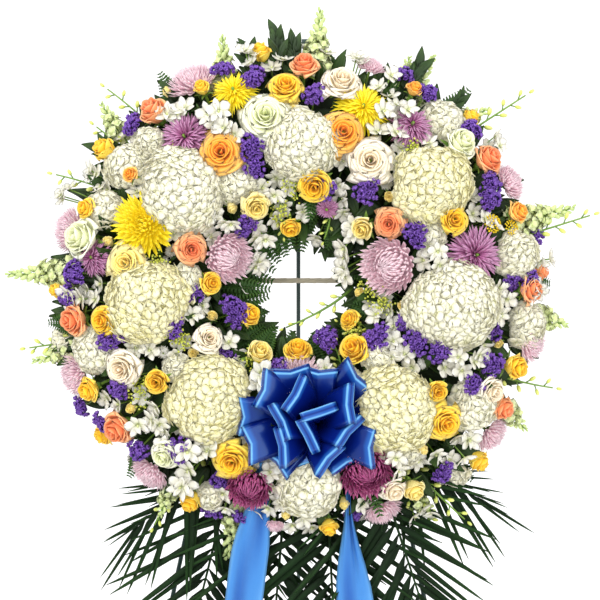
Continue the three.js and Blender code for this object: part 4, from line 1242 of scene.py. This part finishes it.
@dataclass
class Fillers:
    """Statice, white orchids, bud stems, snapdragons and green filler between the big heads."""

    bench: Bench

    def statice(self) -> list[tuple[float, float, float]]:
        """Where the purple clusters stand, as (hour, distance, radius)."""
        return [
            (11.37, 388, 18), (11.6, 358, 20), (0.15, 322, 17), (10.5, 390, 18), (11.4, 246, 20),
            (11.35, 214, 15),
            (1.15, 198, 20), (0.87, 402, 17), (1.1, 392, 18), (1.57, 394, 17), (2.03, 366, 17),
            (2.15, 350, 18),
            (2.54, 412, 18), (2.15, 214, 20), (2.95, 386, 18), (3.77, 212, 20), (3.78, 252, 18),
            (3.7, 342, 20),
            (3.95, 330, 17), (9.15, 372, 20), (8.95, 384, 16), (8.55, 292, 18), (8.5, 325, 16),
            (8.5, 214, 20),
            (8.05, 336, 18), (8.35, 112, 26), (10.7, 138, 17), (6.5, 138, 20), (5.0, 96, 20), (4.05, 152, 22),
            (8.06, 416, 15), (7.86, 396, 16), (7.5, 374, 18), (7.23, 328, 22), (4.72, 388, 17),
            (0.5, 172, 15),
        ]

    def orchids(self) -> list[tuple[float, float, float]]:
        """Where the white orchids stand, as (hour, distance, petal length)."""
        return [
            (11.62, 392, 20), (11.13, 318, 24), (11.25, 290, 22), (10.86, 362, 24), (0.48, 396, 20),
            (0.75, 366, 20),
            (0.93, 308, 24), (8.9, 380, 24), (9.8, 420, 20), (9.95, 392, 22), (10.95, 112, 22),
            (10.4, 82, 22),
            (10.25, 216, 24), (10.4, 168, 20), (1.33, 112, 24), (2.1, 92, 22), (6.64, 170, 26),
            (7.64, 320, 24),
            (6.95, 358, 26), (2.77, 416, 22), (3.08, 388, 24), (2.64, 240, 20), (4.46, 384, 24),
            (5.0, 425, 22),
            (7.1, 296, 26), (1.74, 412, 18), (7.45, 330, 20), (5.05, 330, 22), (3.7, 300, 20),
            (0.95, 345, 20),
        ]

    def build(self) -> None:
        """Makes all the filler flowers."""
        rng = np.random.default_rng(SEED)
        lift = on_face(0, 0, 14 * MM)
        for number, (hour, away, radius) in enumerate(self.statice(), 1):
            spot = Spot(hour, away, radius)
            shape = statice_head(radius * MM, rng)
            whole = planted(shape, spot.centre() + lift, spot.face(), rng.uniform(0, TURN), spot.foot(), 0.0016)
            self.bench.taken.append(spot)
            self.bench.piece(f"statice_{number}", whole, [STATICE, STALK], "mauve_petals")
        for number, (hour, away, size) in enumerate(self.orchids(), 1):
            self.orchid_group(f"orchid_{number}", Spot(hour, away, size), rng)
        self.sprays(rng)
        self.green_filler(rng)
        self.between(rng)

    def between(self, rng: np.random.Generator) -> None:
        """Fills the gaps between the planted heads with small flowers, one piece for each kind.

        Candidates lie at the golden angle over the face; one is kept when it is clear of every
        head and of every kept one, and off the bow. Its kind is drawn by chance.
        """
        kinds = {
            "small_orchids": (orchid_head(0.021), ORCHID, "orchid_petals", 0.60),
            "small_buds": (rose_head(0.014, 0.026, 0.25, rng), Tint.PALE.value[0], "yellow_petals", 0.10),
            "small_statice": (statice_head(0.014, rng), STATICE, "mauve_petals", 0.08),
            "small_daisies": (mum_head(0.012, rng, 1.0), DAISY, "cream_petals", 0.10),
            "small_hydrangeas": (hydrangea_head(0.020, rng), HYDRANGEA, "hydrangea_petals", 0.12),
        }
        middle = corners_of("bow", self.bench.plane).mean(0)[:2]
        count = 900
        far = np.sqrt(np.linspace(0.086**2, 0.412**2, count))
        angle = np.arange(count) * GOLDEN_ANGLE
        flat = np.stack([far * np.sin(angle), far * np.cos(angle)], 1)
        heads = np.array([spot.centre()[:2] for spot in self.bench.taken])
        sizes = np.array([spot.size * MM for spot in self.bench.taken])
        clear = (np.linalg.norm(flat[:, None] - heads[None], axis=-1) - sizes * 0.94 - 0.006).min(1) > 0
        clear &= np.linalg.norm((flat - middle) / [1.0, 0.8], axis=1) > 0.088
        kept: list[int] = []
        for number in np.flatnonzero(clear):
            if all(np.linalg.norm(flat[number] - flat[other]) > 0.021 for other in kept):
                kept.append(int(number))
        drawn = rng.choice(len(kinds), len(kept), p=[row[3] for row in kinds.values()])
        for index, (name, (head, finish, slot, _)) in enumerate(kinds.items()):
            parts = []
            for number in np.array(kept)[drawn == index]:
                hour = angle[number] / TURN * 12 % 12
                spot = Spot(hour, far[number] / MM, 14, rng.uniform(-12, 6) * MM)
                face = spot.face() + rng.normal(0, 0.25, 3)
                whole = planted(head, spot.centre(), face, rng.uniform(0, TURN), spot.foot(), 0.0012)
                whole.petal[:, 2] = 0.6 * whole.petal[:, 2] + 0.4 * rng.uniform()
                parts.append(whole)
            self.bench.piece(name, joined(parts), [finish, STALK], slot)
        LOG.info("between the heads: %d small flowers", len(kept))

    def orchid_group(self, name: str, spot: Spot, rng: np.random.Generator) -> None:
        """Makes two or three orchid blooms on one stem."""
        self.bench.taken.append(spot)
        bloom = orchid_head(spot.size * MM)
        count = 3
        shift = rng.uniform(-1, 1, (count, 3)) * [0.9, 0.9, 0.25] * spot.size * MM
        lift = np.array([0, 0, 20 * MM])
        ways = spot.face() + rng.normal(0, 0.35, (count, 3))
        places = spot.centre() + shift + lift
        blooms = repeated(bloom, aimed(ways, rng.uniform(-0.8, 0.8, count)), places, rng.uniform(0, 1, count))
        paths = [arc_path(spot.foot(), place, spot.face() * 0.01, 6) for place in places]
        stalks = [tube(path, 0.0012, 4).painted(1) for path in paths]
        self.bench.piece(name, joined([blooms, *stalks]), [ORCHID, STALK], "orchid_petals")

    def spray_path(self, node: str) -> np.ndarray:
        """A framed spray's middle line: from the foam to the solid's far end, in the plane."""
        places = corners_of(node, self.bench.plane)
        away = np.linalg.norm(places[:, :2], axis=1)
        tip = places[away > away.max() - 0.5 * MM].mean(0)
        start = places[away < away.min() + 3 * MM].mean(0)
        return arc_path(start, tip, np.array([0.0, 0.0, 0.012]), 14)

    def sprays(self, rng: np.random.Generator) -> None:
        """Makes the snapdragons and the orchids' bud stems."""
        for node in ("snapdragon_top", "snapdragon_left", "snapdragon_right", "snapdragon_low"):
            path = self.spray_path(node)
            outer = path[len(path) // 2 - 1:]
            shape = joined([snapdragon_spray(outer, 0.027, rng), tube(path[:7], 0.0026).painted(1)])
            spray = self.bench.piece(f"{node}_spray", shape, [SNAPDRAGON, STALK], "snapdragon_florets")
            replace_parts(spray, node)
        for node in ("orchid_buds_right", "orchid_buds_high", "orchid_buds_left"):
            shape = bud_spray(self.spray_path(node), 0.017, rng, 13)
            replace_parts(self.bench.piece(f"{node}_spray", shape, [BUD_GREEN, STALK], "orchid_petals"), node)
        spikes = [
            (11.3, 350, 11.45, 452, 20), (1.05, 340, 1.0, 462, 20), (10.35, 390, 10.45, 462, 18),
            (8.5, 380, 8.5, 468, 18), (3.2, 400, 3.25, 462, 18), (4.0, 400, 4.05, 455, 17),
            (1.45, 390, 1.55, 448, 16), (7.1, 390, 7.05, 452, 16), (5.05, 400, 4.95, 446, 16),
            (0.9, 380, 0.85, 440, 16),
        ]
        for number, (hour, near, end, far, radius) in enumerate(spikes, 1):
            start, tip = on_face(hour, near * MM, 45 * MM), on_face(end, far * MM, 50 * MM)
            path = arc_path(start, tip, np.array([0, 0, 0.01]), 10)
            foot = foam_point(hour, 330 * MM)
            stalk = tube(arc_path(foot, start, 0 * foot, 4), 0.0024).painted(1)
            shape = joined([snapdragon_spray(path, radius * 1.22 * MM, rng), stalk])
            self.bench.piece(f"snapdragon_spray_{number}", shape, [SNAPDRAGON, STALK], "snapdragon_florets")
        stems = [
            (10.6, 10.55, 470, 60), (10.1, 10.3, 440, 60), (6.95, 7.05, 470, 40), (4.95, 4.8, 480, 60),
            (5.1, 5.0, 462, 50), (3.8, 3.7, 462, 60), (9.95, 9.85, 455, 60),
        ]
        for number, (hour, end, far, level) in enumerate(stems, 1):
            tip = on_face(end, far * MM, level * MM)
            path = arc_path(foam_point(hour, 330 * MM), tip, on_face(hour + 3, 8 * MM, 20 * MM), 14)
            shape = bud_spray(path, 0.016, rng, 11)
            self.bench.piece(f"bud_stem_{number}", shape, [BUD_GREEN, STALK], "orchid_petals")
        inner = [
            (2.9, 92, 6.6, 66), (4.6, 170, 4.3, 90), (5.3, 175, 4.9, 100), (0.4, 200, 0.9, 96),
            (11.2, 190, 11.5, 96),
        ]
        for number, (hour, near, end, far) in enumerate(inner, 1):
            start, tip = on_face(hour, near * MM, 80 * MM), on_face(end, far * MM, 95 * MM)
            bulge = np.array([0.012, 0.0, 0.015])
            path = arc_path(start, tip, bulge, 14)
            shape = bud_spray(path, 0.012, rng, 8)
            self.bench.piece(f"inner_bud_stem_{number}", shape, [BUD_GREEN, STALK], "orchid_petals")

    def green_filler(self, rng: np.random.Generator) -> None:
        """Makes yellow-green sprigs as clusters of small balls."""
        ball = bead(1).sized(0.0026)
        spots = [
            (7.95, 310, 24), (11.9, 170, 22), (11.6, 130, 18), (8.25, 210, 18), (7.1, 140, 18),
            (4.15, 118, 20),
            (9.35, 235, 18), (8.7, 255, 18), (2.95, 120, 18), (3.3, 140, 18), (10.6, 300, 16), (1.3, 300, 16),
        ]
        for number, (hour, away, radius) in enumerate(spots, 1):
            count = 70
            spot = Spot(hour, away, radius)
            spread = rng.normal(0, 1, (count, 3)) * [0.5, 0.5, 0.35] * radius * MM
            places = spot.centre() + spread + [0, 0, 0.008]
            balls = repeated(ball, np.repeat(np.eye(3)[None], count, 0), places, rng.uniform(0, 1, count))
            stalks = [
                tube(arc_path(spot.foot(), places[k], np.array([0, 0, 0.004]), 4), 0.0009, 4).painted(1)
                for k in range(0, count, 9)
            ]
            self.bench.piece(f"filler_sprig_{number}", joined([balls, *stalks]), [FILLER, STALK], "leaves")


# ---------------------------------------------------------------- greenery


@dataclass
class Greenery:
    """Leaves, fern and palm round and between the flowers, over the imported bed."""

    bench: Bench
    bed_half_width: float = 0.128
    bed_height: float = 0.072

    def build(self) -> None:
        """Makes the bed, its leaves, the fern fronds and the palm fronds."""
        rng = np.random.default_rng(7 * SEED)
        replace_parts(self.bench.piece("packed_greenery", self.bed(), [BED], "leaves"), "leaf_bed")
        leaf = Blade(1.0, 0.46, Outline.POINTED, -0.35, 0.25, 0.04, 0.008, 5, 8).surface()
        collars = [
            ("outer_leaves", 170, (320, 372), (8, 70), 1.0, (0.044, 0.066)),
            ("inner_leaves", 130, (104, 160), (10, 76), -1.0, (0.034, 0.056)),
            ("back_leaves", 90, (300, 350), (5, 14), 1.0, (0.060, 0.085)),
        ]
        for name, count, away, level, sign, size in collars:
            self.bench.piece(name, self.collar(leaf, rng, count, away, level, sign, size), [LEAF], "leaves")
        self.bench.piece("face_leaves", self.face_leaves(leaf, rng), [LEAF], "leaves")
        self.ferns(rng)
        self.palms(rng)
        self.bench.piece("ruscus_sprigs", self.sprigs(leaf, rng), [LEAF], "leaves")

    def bed(self) -> Surface:
        """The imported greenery: a lumpy arch section carried round the ring.

        The section is half an ellipse closed by its flat back; lumps are sums of waves of the
        two angles.
        """
        around = np.linspace(0, TURN, 180, endpoint=False)[:, None]
        s = np.linspace(0, 1, 22, endpoint=False)[None, :]
        angle = math.pi * np.clip(s / 0.72, 0, 1)
        back = np.clip((s - 0.72) / 0.28, 0, 1)
        wide = self.bed_half_width * np.where(s < 0.72, np.cos(angle), -1 + 2 * back)
        tall = self.bed_height * np.where(s < 0.72, np.sin(angle), 0.0)
        waves = np.sin(23 * around + 9 * s) + np.sin(37 * around - 25 * s) + np.sin(61 * around + 31 * s)
        lump = 0.006 * waves
        swell = np.where(s < 0.72, 1.0, 0.0) * np.sin(angle) * lump
        away = ARCH_MIDDLE + wide + np.cos(angle) * swell
        out = ARCH_BACK - 0.012 + tall + swell
        grid = np.stack([away * np.sin(around), away * np.cos(around), out + 0 * around], -1)
        index = np.arange(180 * 22).reshape(180, 22)
        wrapped = np.concatenate([index, index[:1]], 0)
        wrapped = np.concatenate([wrapped, wrapped[:, :1]], 1)
        faces = quads(wrapped, flip=True)
        steps = np.meshgrid(np.arange(181) / 180, np.arange(23) / 22, indexing="ij")
        share = np.stack(steps, -1).reshape(-1, 2)
        flat = share[quads(np.arange(181 * 23).reshape(181, 23), flip=True)]
        petal = np.full((180 * 22, 3), 0.5)
        return Surface(grid.reshape(-1, 3), faces, petal, flat, np.zeros(len(faces), int))

    def collar(
        self, leaf: Surface, rng: np.random.Generator, count: int,
        away: tuple[float, float], level: tuple[float, float], sign: float, size: tuple[float, float],
    ) -> Surface:
        """A ring of leaves that point outwards or inwards.

        Args:
            leaf: the leaf to repeat.
            rng: the source of its irregularities.
            count: how many leaves.
            away: the least and most distance of their feet from the middle, in mm.
            level: the least and most level of their feet, in mm.
            sign: 1 for outwards, -1 for inwards.
            size: the least and most length, in metres.

        Returns:
            All the leaves as one surface.
        """
        angle = (np.arange(count) + rng.uniform(-0.4, 0.4, count)) * TURN / count
        far = rng.uniform(*away, count) * MM
        radial = np.stack([np.sin(angle), np.cos(angle), 0 * angle], 1)
        tangent = np.stack([np.cos(angle), -np.sin(angle), 0 * angle], 1)
        places = radial * far[:, None] + [0, 0, 1] * (rng.uniform(*level, count) * MM)[:, None]
        way = radial * sign + tangent * rng.normal(0, 0.35, count)[:, None]
        way = way + np.array([0, 0, 1]) * rng.uniform(-0.05, 0.45, count)[:, None]
        way /= np.linalg.norm(way, axis=1, keepdims=True)
        face = np.array([0, 0, 1.0]) + rng.normal(0, 0.3, (count, 3))
        normal = face - way * (face * way).sum(1)[:, None]
        normal /= np.linalg.norm(normal, axis=1, keepdims=True)
        turns = np.stack([np.cross(way, normal), way, normal], -1)
        return repeated(leaf, turns, places, rng.uniform(0, 1, count), rng.uniform(*size, count))

    def face_leaves(self, leaf: Surface, rng: np.random.Generator) -> Surface:
        """Leaves that stand up between the heads all over the bed, at even steps of area."""
        count = 330
        angle = np.arange(count) * GOLDEN_ANGLE
        away = np.sqrt(np.linspace(0.130**2, 0.365**2, count))
        share = np.clip((away - ARCH_MIDDLE) / 0.150, -0.95, 0.95)
        radial = np.stack([np.sin(angle), np.cos(angle), 0 * angle], 1)
        out = 0.02 + 0.082 * np.sqrt(1 - share**2)
        places = radial * away[:, None] + np.array([0, 0, 1]) * out[:, None]
        way = radial * share[:, None] * 1.2 + rng.normal(0, 0.7, (count, 3)) * [1, 1, 0.25] + [0, 0, 0.35]
        way /= np.linalg.norm(way, axis=1, keepdims=True)
        face = np.array([0, 0, 1.0]) + rng.normal(0, 0.35, (count, 3))
        normal = face - way * (face * way).sum(1)[:, None]
        normal /= np.linalg.norm(normal, axis=1, keepdims=True)
        turns = np.stack([np.cross(way, normal), way, normal], -1)
        return repeated(leaf, turns, places, rng.uniform(0, 1, count), rng.uniform(0.045, 0.07, count))

    def ferns(self, rng: np.random.Generator) -> None:
        """Fern fronds at the rim and in the hole, as (hour, from, to, level)."""
        fronds = [
            (0.9, 330, 440, 50), (1.3, 330, 450, 40), (2.9, 350, 430, 40), (4.6, 340, 440, 40),
            (5.25, 260, 400, 110),
            (6.4, 330, 430, 60), (7.5, 330, 430, 40), (8.7, 340, 430, 40), (10.9, 330, 440, 40),
            (11.8, 330, 440, 40),
            (0.35, 230, 120, 120), (1.9, 240, 180, 130), (8.7, 230, 160, 130), (10.8, 200, 105, 100),
            (1.0, 180, 85, 70), (4.3, 170, 92, 80), (5.6, 180, 84, 70), (7.6, 180, 84, 70),
            (9.3, 180, 88, 60),
            (2.5, 180, 84, 60), (3.5, 180, 80, 70), (11.6, 185, 70, 70), (0.2, 180, 66, 60),
            (8.6, 165, 52, 60), (9.1, 165, 48, 70), (9.7, 165, 46, 55), (10.3, 165, 52, 65),
            (10.9, 165, 58, 60),
            (11.3, 165, 62, 70), (8.0, 165, 66, 60), (7.1, 165, 74, 70), (6.3, 165, 70, 60),
            (5.2, 165, 76, 60),
        ]
        for number, (hour, near, far, level) in enumerate(fronds, 1):
            start = on_face(hour, near * MM, 60 * MM)
            tip = on_face(hour + rng.uniform(-0.15, 0.15), far * MM, level * MM)
            path = arc_path(start, tip, np.array([0, 0, 0.015]), 12)
            self.bench.piece(f"fern_frond_{number}", fern_spray(path, 0.032), [FERN], "leaves")

    def sprigs(self, leaf: Surface, rng: np.random.Generator) -> Surface:
        """Upright leafy sprigs at the rim, as (hour, reach): leaves alternate up a thin stalk."""
        parts = []
        rows = ((11.62, 0.408), (11.84, 0.428), (11.97, 0.405), (0.95, 0.425), (1.35, 0.415), (10.2, 0.400))
        for hour, reach in rows:
            start, tip = on_face(hour, 0.290, 0.050), on_face(hour, reach, 0.078)
            path = arc_path(start, tip, np.array([0, 0, 0.012]), 12)
            share = np.linspace(0.22, 1.0, 15)
            steps = np.linspace(0, 1, len(path))
            places = np.stack([np.interp(share, steps, path[:, axis]) for axis in range(3)], 1)
            along = (tip - start) / np.linalg.norm(tip - start)
            across = np.cross(along, [0, 0, 1.0])
            side = np.where(np.arange(15) % 2, 1.0, -1.0) * (1.05 - 0.75 * share)
            way = along + across * side[:, None] + rng.normal(0, 0.12, (15, 3))
            way /= np.linalg.norm(way, axis=1, keepdims=True)
            face = np.array([0, 0, 1.0]) + rng.normal(0, 0.3, (15, 3))
            normal = face - way * (face * way).sum(1)[:, None]
            normal /= np.linalg.norm(normal, axis=1, keepdims=True)
            turns = np.stack([np.cross(way, normal), way, normal], -1)
            tones = rng.uniform(0.3, 1, 15)
            parts.append(repeated(leaf, turns, places, tones, rng.uniform(0.030, 0.044, 15)))
            parts.append(tube(path, 0.0013))
        return joined(parts)

    def palms(self, rng: np.random.Generator) -> None:
        """The framed palm fronds, each from its root near the ring to its tip."""
        for number in range(1, 7):
            node = f"palm_frond_{number}"
            places = corners_of(node, self.bench.plane)
            from_middle = np.linalg.norm(places[:, :2], axis=1)
            tip = places[from_middle > from_middle.max() - 1 * MM].mean(0)
            root = places[from_middle < from_middle.min() + 3 * MM].mean(0)
            length = np.linalg.norm(tip - root)
            shape = palm_spray(root, tip + (root - tip) * (0.08 / length + 0.05), 0.11 + 0.22 * length, rng)
            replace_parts(self.bench.piece(f"{node}_leaflets", shape, [PALM], "palm"), node)


# ---------------------------------------------------------------- ribbon


@dataclass
class Ribbon:
    """The satin bow, one long ribbon in many loops, and its two hanging tails."""

    bench: Bench
    width: float = 0.064
    thickness: float = 0.0006

    def build(self) -> None:
        """Makes the bow and the tails."""
        shape, length = self.bow()
        bow = self.bench.piece("satin_bow", shape, [BOW_SATIN], "bow_satin")
        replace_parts(bow, "bow")
        for side in ("left", "right"):
            node = f"ribbon_tail_{side}"
            shape, length = self.tail(node)
            tail = self.bench.piece(f"satin_tail_{side}", shape, [TAIL_SATIN], "tail_satin")
            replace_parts(tail, node)

    def bow(self) -> tuple[Surface, float]:
        """The bow's loops round their knot.

        In a loop's own plane the ribbon runs out along one side, turns a tight crease, crosses
        a short flat end, turns the other crease and runs back. Its width narrows to the knot in
        pleats and its end is cut slantwise with a kink in the middle. Each crease carries a painted
        highlight, and painted shade darkens each loop towards the knot.

        Returns:
            The loops as one surface, and the length of ribbon in them.
        """
        corners = corners_of("bow", self.bench.plane)
        middle = (corners.min(0) + corners.max(0)) / 2
        knot = np.array([middle[0], middle[1] + 0.002, 0.112])
        # bearing in degrees from right, lean from straight out, length, twist, slant of the end
        loops = [
            (48, 62, 0.118, 10, 0.5), (84, 60, 0.098, -14, -0.4), (4, 66, 0.122, 0, -0.4),
            (-22, 60, 0.116, 14, -0.4),
            (-50, 64, 0.096, -12, 0.4), (-92, 60, 0.076, 10, -0.3), (-134, 64, 0.098, 12, 0.3),
            (-162, 64, 0.122, 4, 0.2), (174, 68, 0.126, -6, -0.2), (146, 62, 0.114, 14, -0.4),
            (114, 64, 0.104, -12, 0.4),
            (30, 40, 0.104, -24, 0.5), (122, 38, 0.096, 26, -0.5), (-146, 40, 0.098, -22, 0.5),
            (-66, 42, 0.092, 24, -0.5), (-12, 38, 0.092, -28, 0.4), (176, 36, 0.092, 28, -0.4),
            (70, 16, 0.082, 40, 0.4), (240, 14, 0.080, -36, -0.4),
        ]
        u = np.linspace(-1, 1, 9)[:, None]
        crease, half_end = 0.0026, 0.0075
        turn = np.linspace(0, math.pi / 2, 5)
        grids, painted_highlight_and_shade, total = [], [], 0.0
        for bearing, lean, length, twist, slant in loops:
            b, a, w = math.radians(bearing), math.radians(lean), math.radians(twist)
            way = np.array([math.cos(b) * math.sin(a), math.sin(b) * math.sin(a), math.cos(a)])
            side = np.array([-math.sin(b), math.cos(b), 0.0])
            up = np.cross(way, side)
            wide = side * math.cos(w) + up * math.sin(w)
            off = up * math.cos(w) - side * math.sin(w)
            out = np.linspace(0.0, 1.0, 12)[:-1]
            straight = out * (length - crease)
            rise = 0.001 + (half_end - 0.001) * out**0.8 + 0.004 * np.sin(math.pi * out)
            corner_x = length - crease + crease * np.sin(turn)
            corner_z = half_end - crease + crease * np.cos(turn)
            x = np.concatenate([straight, corner_x, [length], corner_x[::-1], straight[::-1]])
            z = np.concatenate([rise, corner_z, [0.0], -corner_z[::-1], -rise[::-1]])
            share = np.clip(x / length, 0, 1)
            gather = 0.34 + 0.66 * np.sin(math.pi / 2 * np.clip(share * 1.7, 0, 1))
            cut = 1 + (0.16 * slant * u + 0.07 * np.abs(u)) * share
            pleat = 0.005 * np.cos(3 * math.pi * u) * (1 - np.clip(share * 1.5, 0, 1))
            grid = (
                knot
                + (x * cut)[..., None] * way
                + (z + pleat)[..., None] * off
                + (u * self.width / 2 * gather)[..., None] * wide
            )
            grids.append(grid)
            total += float(np.linalg.norm(np.diff(grid[4], axis=0), axis=1).sum())
            # Painted highlight: a bright band round each crease, kept as the place along the petal; painted
            # shade: the share out from the knot, kept as the tone, darkens the loop towards the knot.
            painted_light = np.exp(-(((x - length) ** 2 + (np.abs(z) - half_end) ** 2) / 0.0035**2))
            painted_highlight_and_shade.append(np.stack(np.broadcast_arrays(painted_light + 0 * u, share + 0 * u), -1))
        surface = shell(np.stack(grids), self.thickness)
        front = np.stack(painted_highlight_and_shade)
        back = front[:, 1:-1, 1:-1]
        both = [front.reshape(len(loops), -1, 2), back.reshape(len(loops), -1, 2)]
        surface.petal[:, 1:] = np.concatenate(both, 1).reshape(-1, 2)
        return surface, total

    def tail(self, node: str) -> tuple[Surface, float]:
        """A hanging tail along its framed strip, gathered in pleats where it leaves the bow.

        Across it, the half width is the strip's own half width there, and pleats stand out as
        a wave whose depth keeps the ribbon's true width; the cut end is a plain V. The satin's
        painted sheen, kept as the place along the petal, is a sum of two slanting waves, with
        painted shade in the pleats at the top.

        Returns:
            The tail and its length.
        """
        places = corners_of(node, self.bench.plane)
        levels = np.unique(np.round(places[:, 1], 3))
        middles, halves = [], []
        for level in levels:
            row = places[np.abs(places[:, 1] - level) < 2 * MM]
            middles.append([(row[:, 0].min() + row[:, 0].max()) / 2, level, row[:, 2].mean()])
            halves.append((row[:, 0].max() - row[:, 0].min()) / 2)
        middles, halves = np.array(middles), np.array(halves)
        steps, across = 56, 13
        line = np.linspace(levels[-1], levels[0], steps)
        middle = np.stack([np.interp(line, levels, middles[:, axis]) for axis in range(3)], 1)
        half = np.interp(line, levels, halves)
        u = np.linspace(-1, 1, across)[:, None]
        v = np.linspace(0, 1, steps)[None, :]
        squeeze = np.clip(1 - (half[None] * 2 / self.width) ** 2, 0, 1) ** 0.5
        fold = 0.009 * np.exp(-(((u - 0.45 + 0.35 * v) / 0.24) ** 2)) * (1 - 0.5 * v)
        wave = 0.005 * squeeze * np.cos(3.2 * math.pi * u) + fold + 0.003 * np.sin(5 * v + 2 * u) * v
        x = middle[None, :, 0] + u * half[None] + 0.004 * np.sin(7 * v)
        y = middle[None, :, 1] + 0.026 * np.abs(u) * -1 * np.clip((v - 0.9) / 0.1, 0, 1) + 0 * u
        z = middle[None, :, 2] + wave
        grid = np.stack([-x + 2 * middle[None, :, 0], y, z], -1)
        length = float(np.linalg.norm(np.diff(middle, axis=0), axis=1).sum())
        surface = shell(grid[None], self.thickness)
        # Painted sheen: slanting bands of light and shade; then painted shade in the pleats near the top.
        painted_sheen_bands = 0.5 + 0.34 * np.sin(2.3 * u - 3.4 * v - 0.5) + 0.10 * np.sin(5.1 * u + 6.0 * v)
        painted_light = painted_sheen_bands - 0.30 * np.exp(-v / 0.10) * (0.5 + 0.5 * np.cos(9.0 * u))
        surface.petal[:, 1] = np.clip(np.concatenate([painted_light.ravel(), painted_light[1:-1, 1:-1].ravel()]), 0, 1)
        return surface, length


# ---------------------------------------------------------------- easel and the base


@dataclass
class Easel:
    """The easel, tray and foam: framed solids with their finishes, and the taped bar."""

    bench: Bench
    tape_pitch: float = 0.020
    tape_step: float = 0.0007

    def build(self) -> None:
        """Dresses the framed solids and winds the bar's tape."""
        finishes = {
            ENAMEL: (
                "easel_leg_left", "easel_leg_right", "easel_back_leg", "leg_stop", "lower_bar",
                "hook_left", "hook_right",
            ),
            ZINC: ("hinge_bolt", "hinge_nut", "tie_wire_left", "tie_wire_right"),
            RUBBER: ("foot_tip_left", "foot_tip_right", "foot_tip_back"),
            TRAY: ("ring_tray",),
            FOAM: ("foam_ring",),
        }
        for finish, nodes in finishes.items():
            for node in nodes:
                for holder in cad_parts[node].material_slots:
                    holder.material = finish.material()
        bar = self.bench.piece("taped_crossbar", self.taped_bar(), [WRAPPING], "bar_wrapping")
        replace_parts(bar, "wrapped_crossbar")

    def taped_bar(self) -> Surface:
        """The bar's tape: at each turn its radius steps down slowly along a slanting spiral."""
        low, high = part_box("wrapped_crossbar")
        ends = self.bench.plane.from_room(np.array([low, high]))
        middle = ends.mean(0)
        half = (high[0] - low[0]) / 2 - 0.0005
        steps, sides = 200, 12
        x = np.linspace(-half, half, steps)
        base = tube(np.stack([x, 0 * x, 0 * x], 1), 0.0042, sides)
        angle = np.arctan2(base.points[:, 2], base.points[:, 1])
        turn = (base.points[:, 0] / self.tape_pitch + angle / TURN) % 1.0
        grow = 1 + (self.tape_step * turn)[:, None] / 0.0042 * [0, 1, 1]
        return replace(base, points=base.points * grow + middle)


# ---------------------------------------------------------------- studio


@dataclass
class Studio:
    """Floor and backdrop, soft lights, and the camera square to the ring."""

    plane: Plane
    distance: float = 2.6
    view_width: float = 1.002

    def build(self) -> None:
        """Makes camera, floor, lights and world."""
        self.camera()
        self.backdrop()
        self.light("key", (-1.5, -2.6, 2.9), 2.0, 62)
        self.light("fill", (2.2, -2.6, 1.7), 2.4, 36)
        self.light("top", (0.2, -0.6, 3.6), 2.0, 20)
        self.light("behind", (0.6, 2.4, 2.4), 2.0, 18)
        world = bpy.data.worlds.new("studio_air")
        bpy.context.scene.world = world
        world.use_nodes = True
        world.node_tree.nodes["Background"].inputs["Color"].default_value = (1, 1, 1, 1)
        world.node_tree.nodes["Background"].inputs["Strength"].default_value = 1.05
        bpy.context.scene.view_settings.view_transform = "Standard"

    def camera(self) -> None:
        """Sets the camera on the ring's axis, just off its middle, at its true distance."""
        data = bpy.data.cameras.new("front_camera")
        data.sensor_width = 36.0
        data.lens = data.sensor_width * self.distance / self.view_width
        thing = bpy.data.objects.new("front_camera", data)
        bpy.context.scene.collection.objects.link(thing)
        target = self.plane.to_room(np.array([0.003, -0.0167, 0.1]))
        out = self.plane.axes[:, 2]
        thing.location = Vector(target + out * self.distance)
        thing.rotation_mode = "QUATERNION"
        thing.rotation_quaternion = Vector(-out).to_track_quat("-Z", "Y")
        bpy.context.scene.camera = thing

    def backdrop(self) -> None:
        """A pale floor that curves up behind: flat, then a quarter circle, then a wall."""
        reach, bend, wall = 3.2, 1.2, 4.5
        t = np.linspace(0, math.pi / 2, 13)
        y = np.concatenate([[-9.0, 0.0], reach + bend * np.sin(t), [reach + bend]])
        z = np.concatenate([[0.0, 0.0], bend - bend * np.cos(t), [wall]])
        x = np.array([-9.0, 9.0])
        grid = np.stack([x[:, None] + 0 * y, y[None] + 0 * x[:, None], z[None] + 0 * x[:, None]], -1)
        mesh = bpy.data.meshes.new("studio_floor")
        index = np.arange(grid[..., 0].size).reshape(grid.shape[:2])
        mesh.from_pydata(grid.reshape(-1, 3).tolist(), [], quads(index).tolist())
        thing = bpy.data.objects.new("studio_floor", mesh)
        bpy.context.scene.collection.objects.link(thing)
        white = (250, 250, 250)
        paper = Finish("studio_paper", white, white, white, mottle=0.002, painted_glow=0.30)
        mesh.materials.append(paper.material())

    def light(self, name: str, place: tuple[float, float, float], size: float, power: float) -> None:
        """Adds one square soft light aimed at the wreath."""
        data = bpy.data.lights.new(name, "AREA")
        data.size, data.energy = size, power
        thing = bpy.data.objects.new(name, data)
        bpy.context.scene.collection.objects.link(thing)
        thing.location = Vector(place)
        thing.rotation_mode = "QUATERNION"
        way = Vector(self.plane.middle) - Vector(place)
        thing.rotation_quaternion = way.to_track_quat("-Z", "Y")


# ---------------------------------------------------------------- the whole scene


def main() -> None:
    """Builds the camera first, then every sub-assembly in order."""
    logging.basicConfig(level=logging.INFO, format="%(message)s")
    plane = Plane.from_frame()
    bench = Bench(plane)
    Studio(plane).build()
    for part in (Easel, Greenery, Hydrangeas, Roses, Chrysanthemums, Fillers, Ribbon):
        before = bench.made
        part(bench).build()
        LOG.info("%s: %d triangles", part.__name__, bench.made - before)
    LOG.info("all pieces: %d triangles", bench.made)


if __name__ == "__main__":
    main()
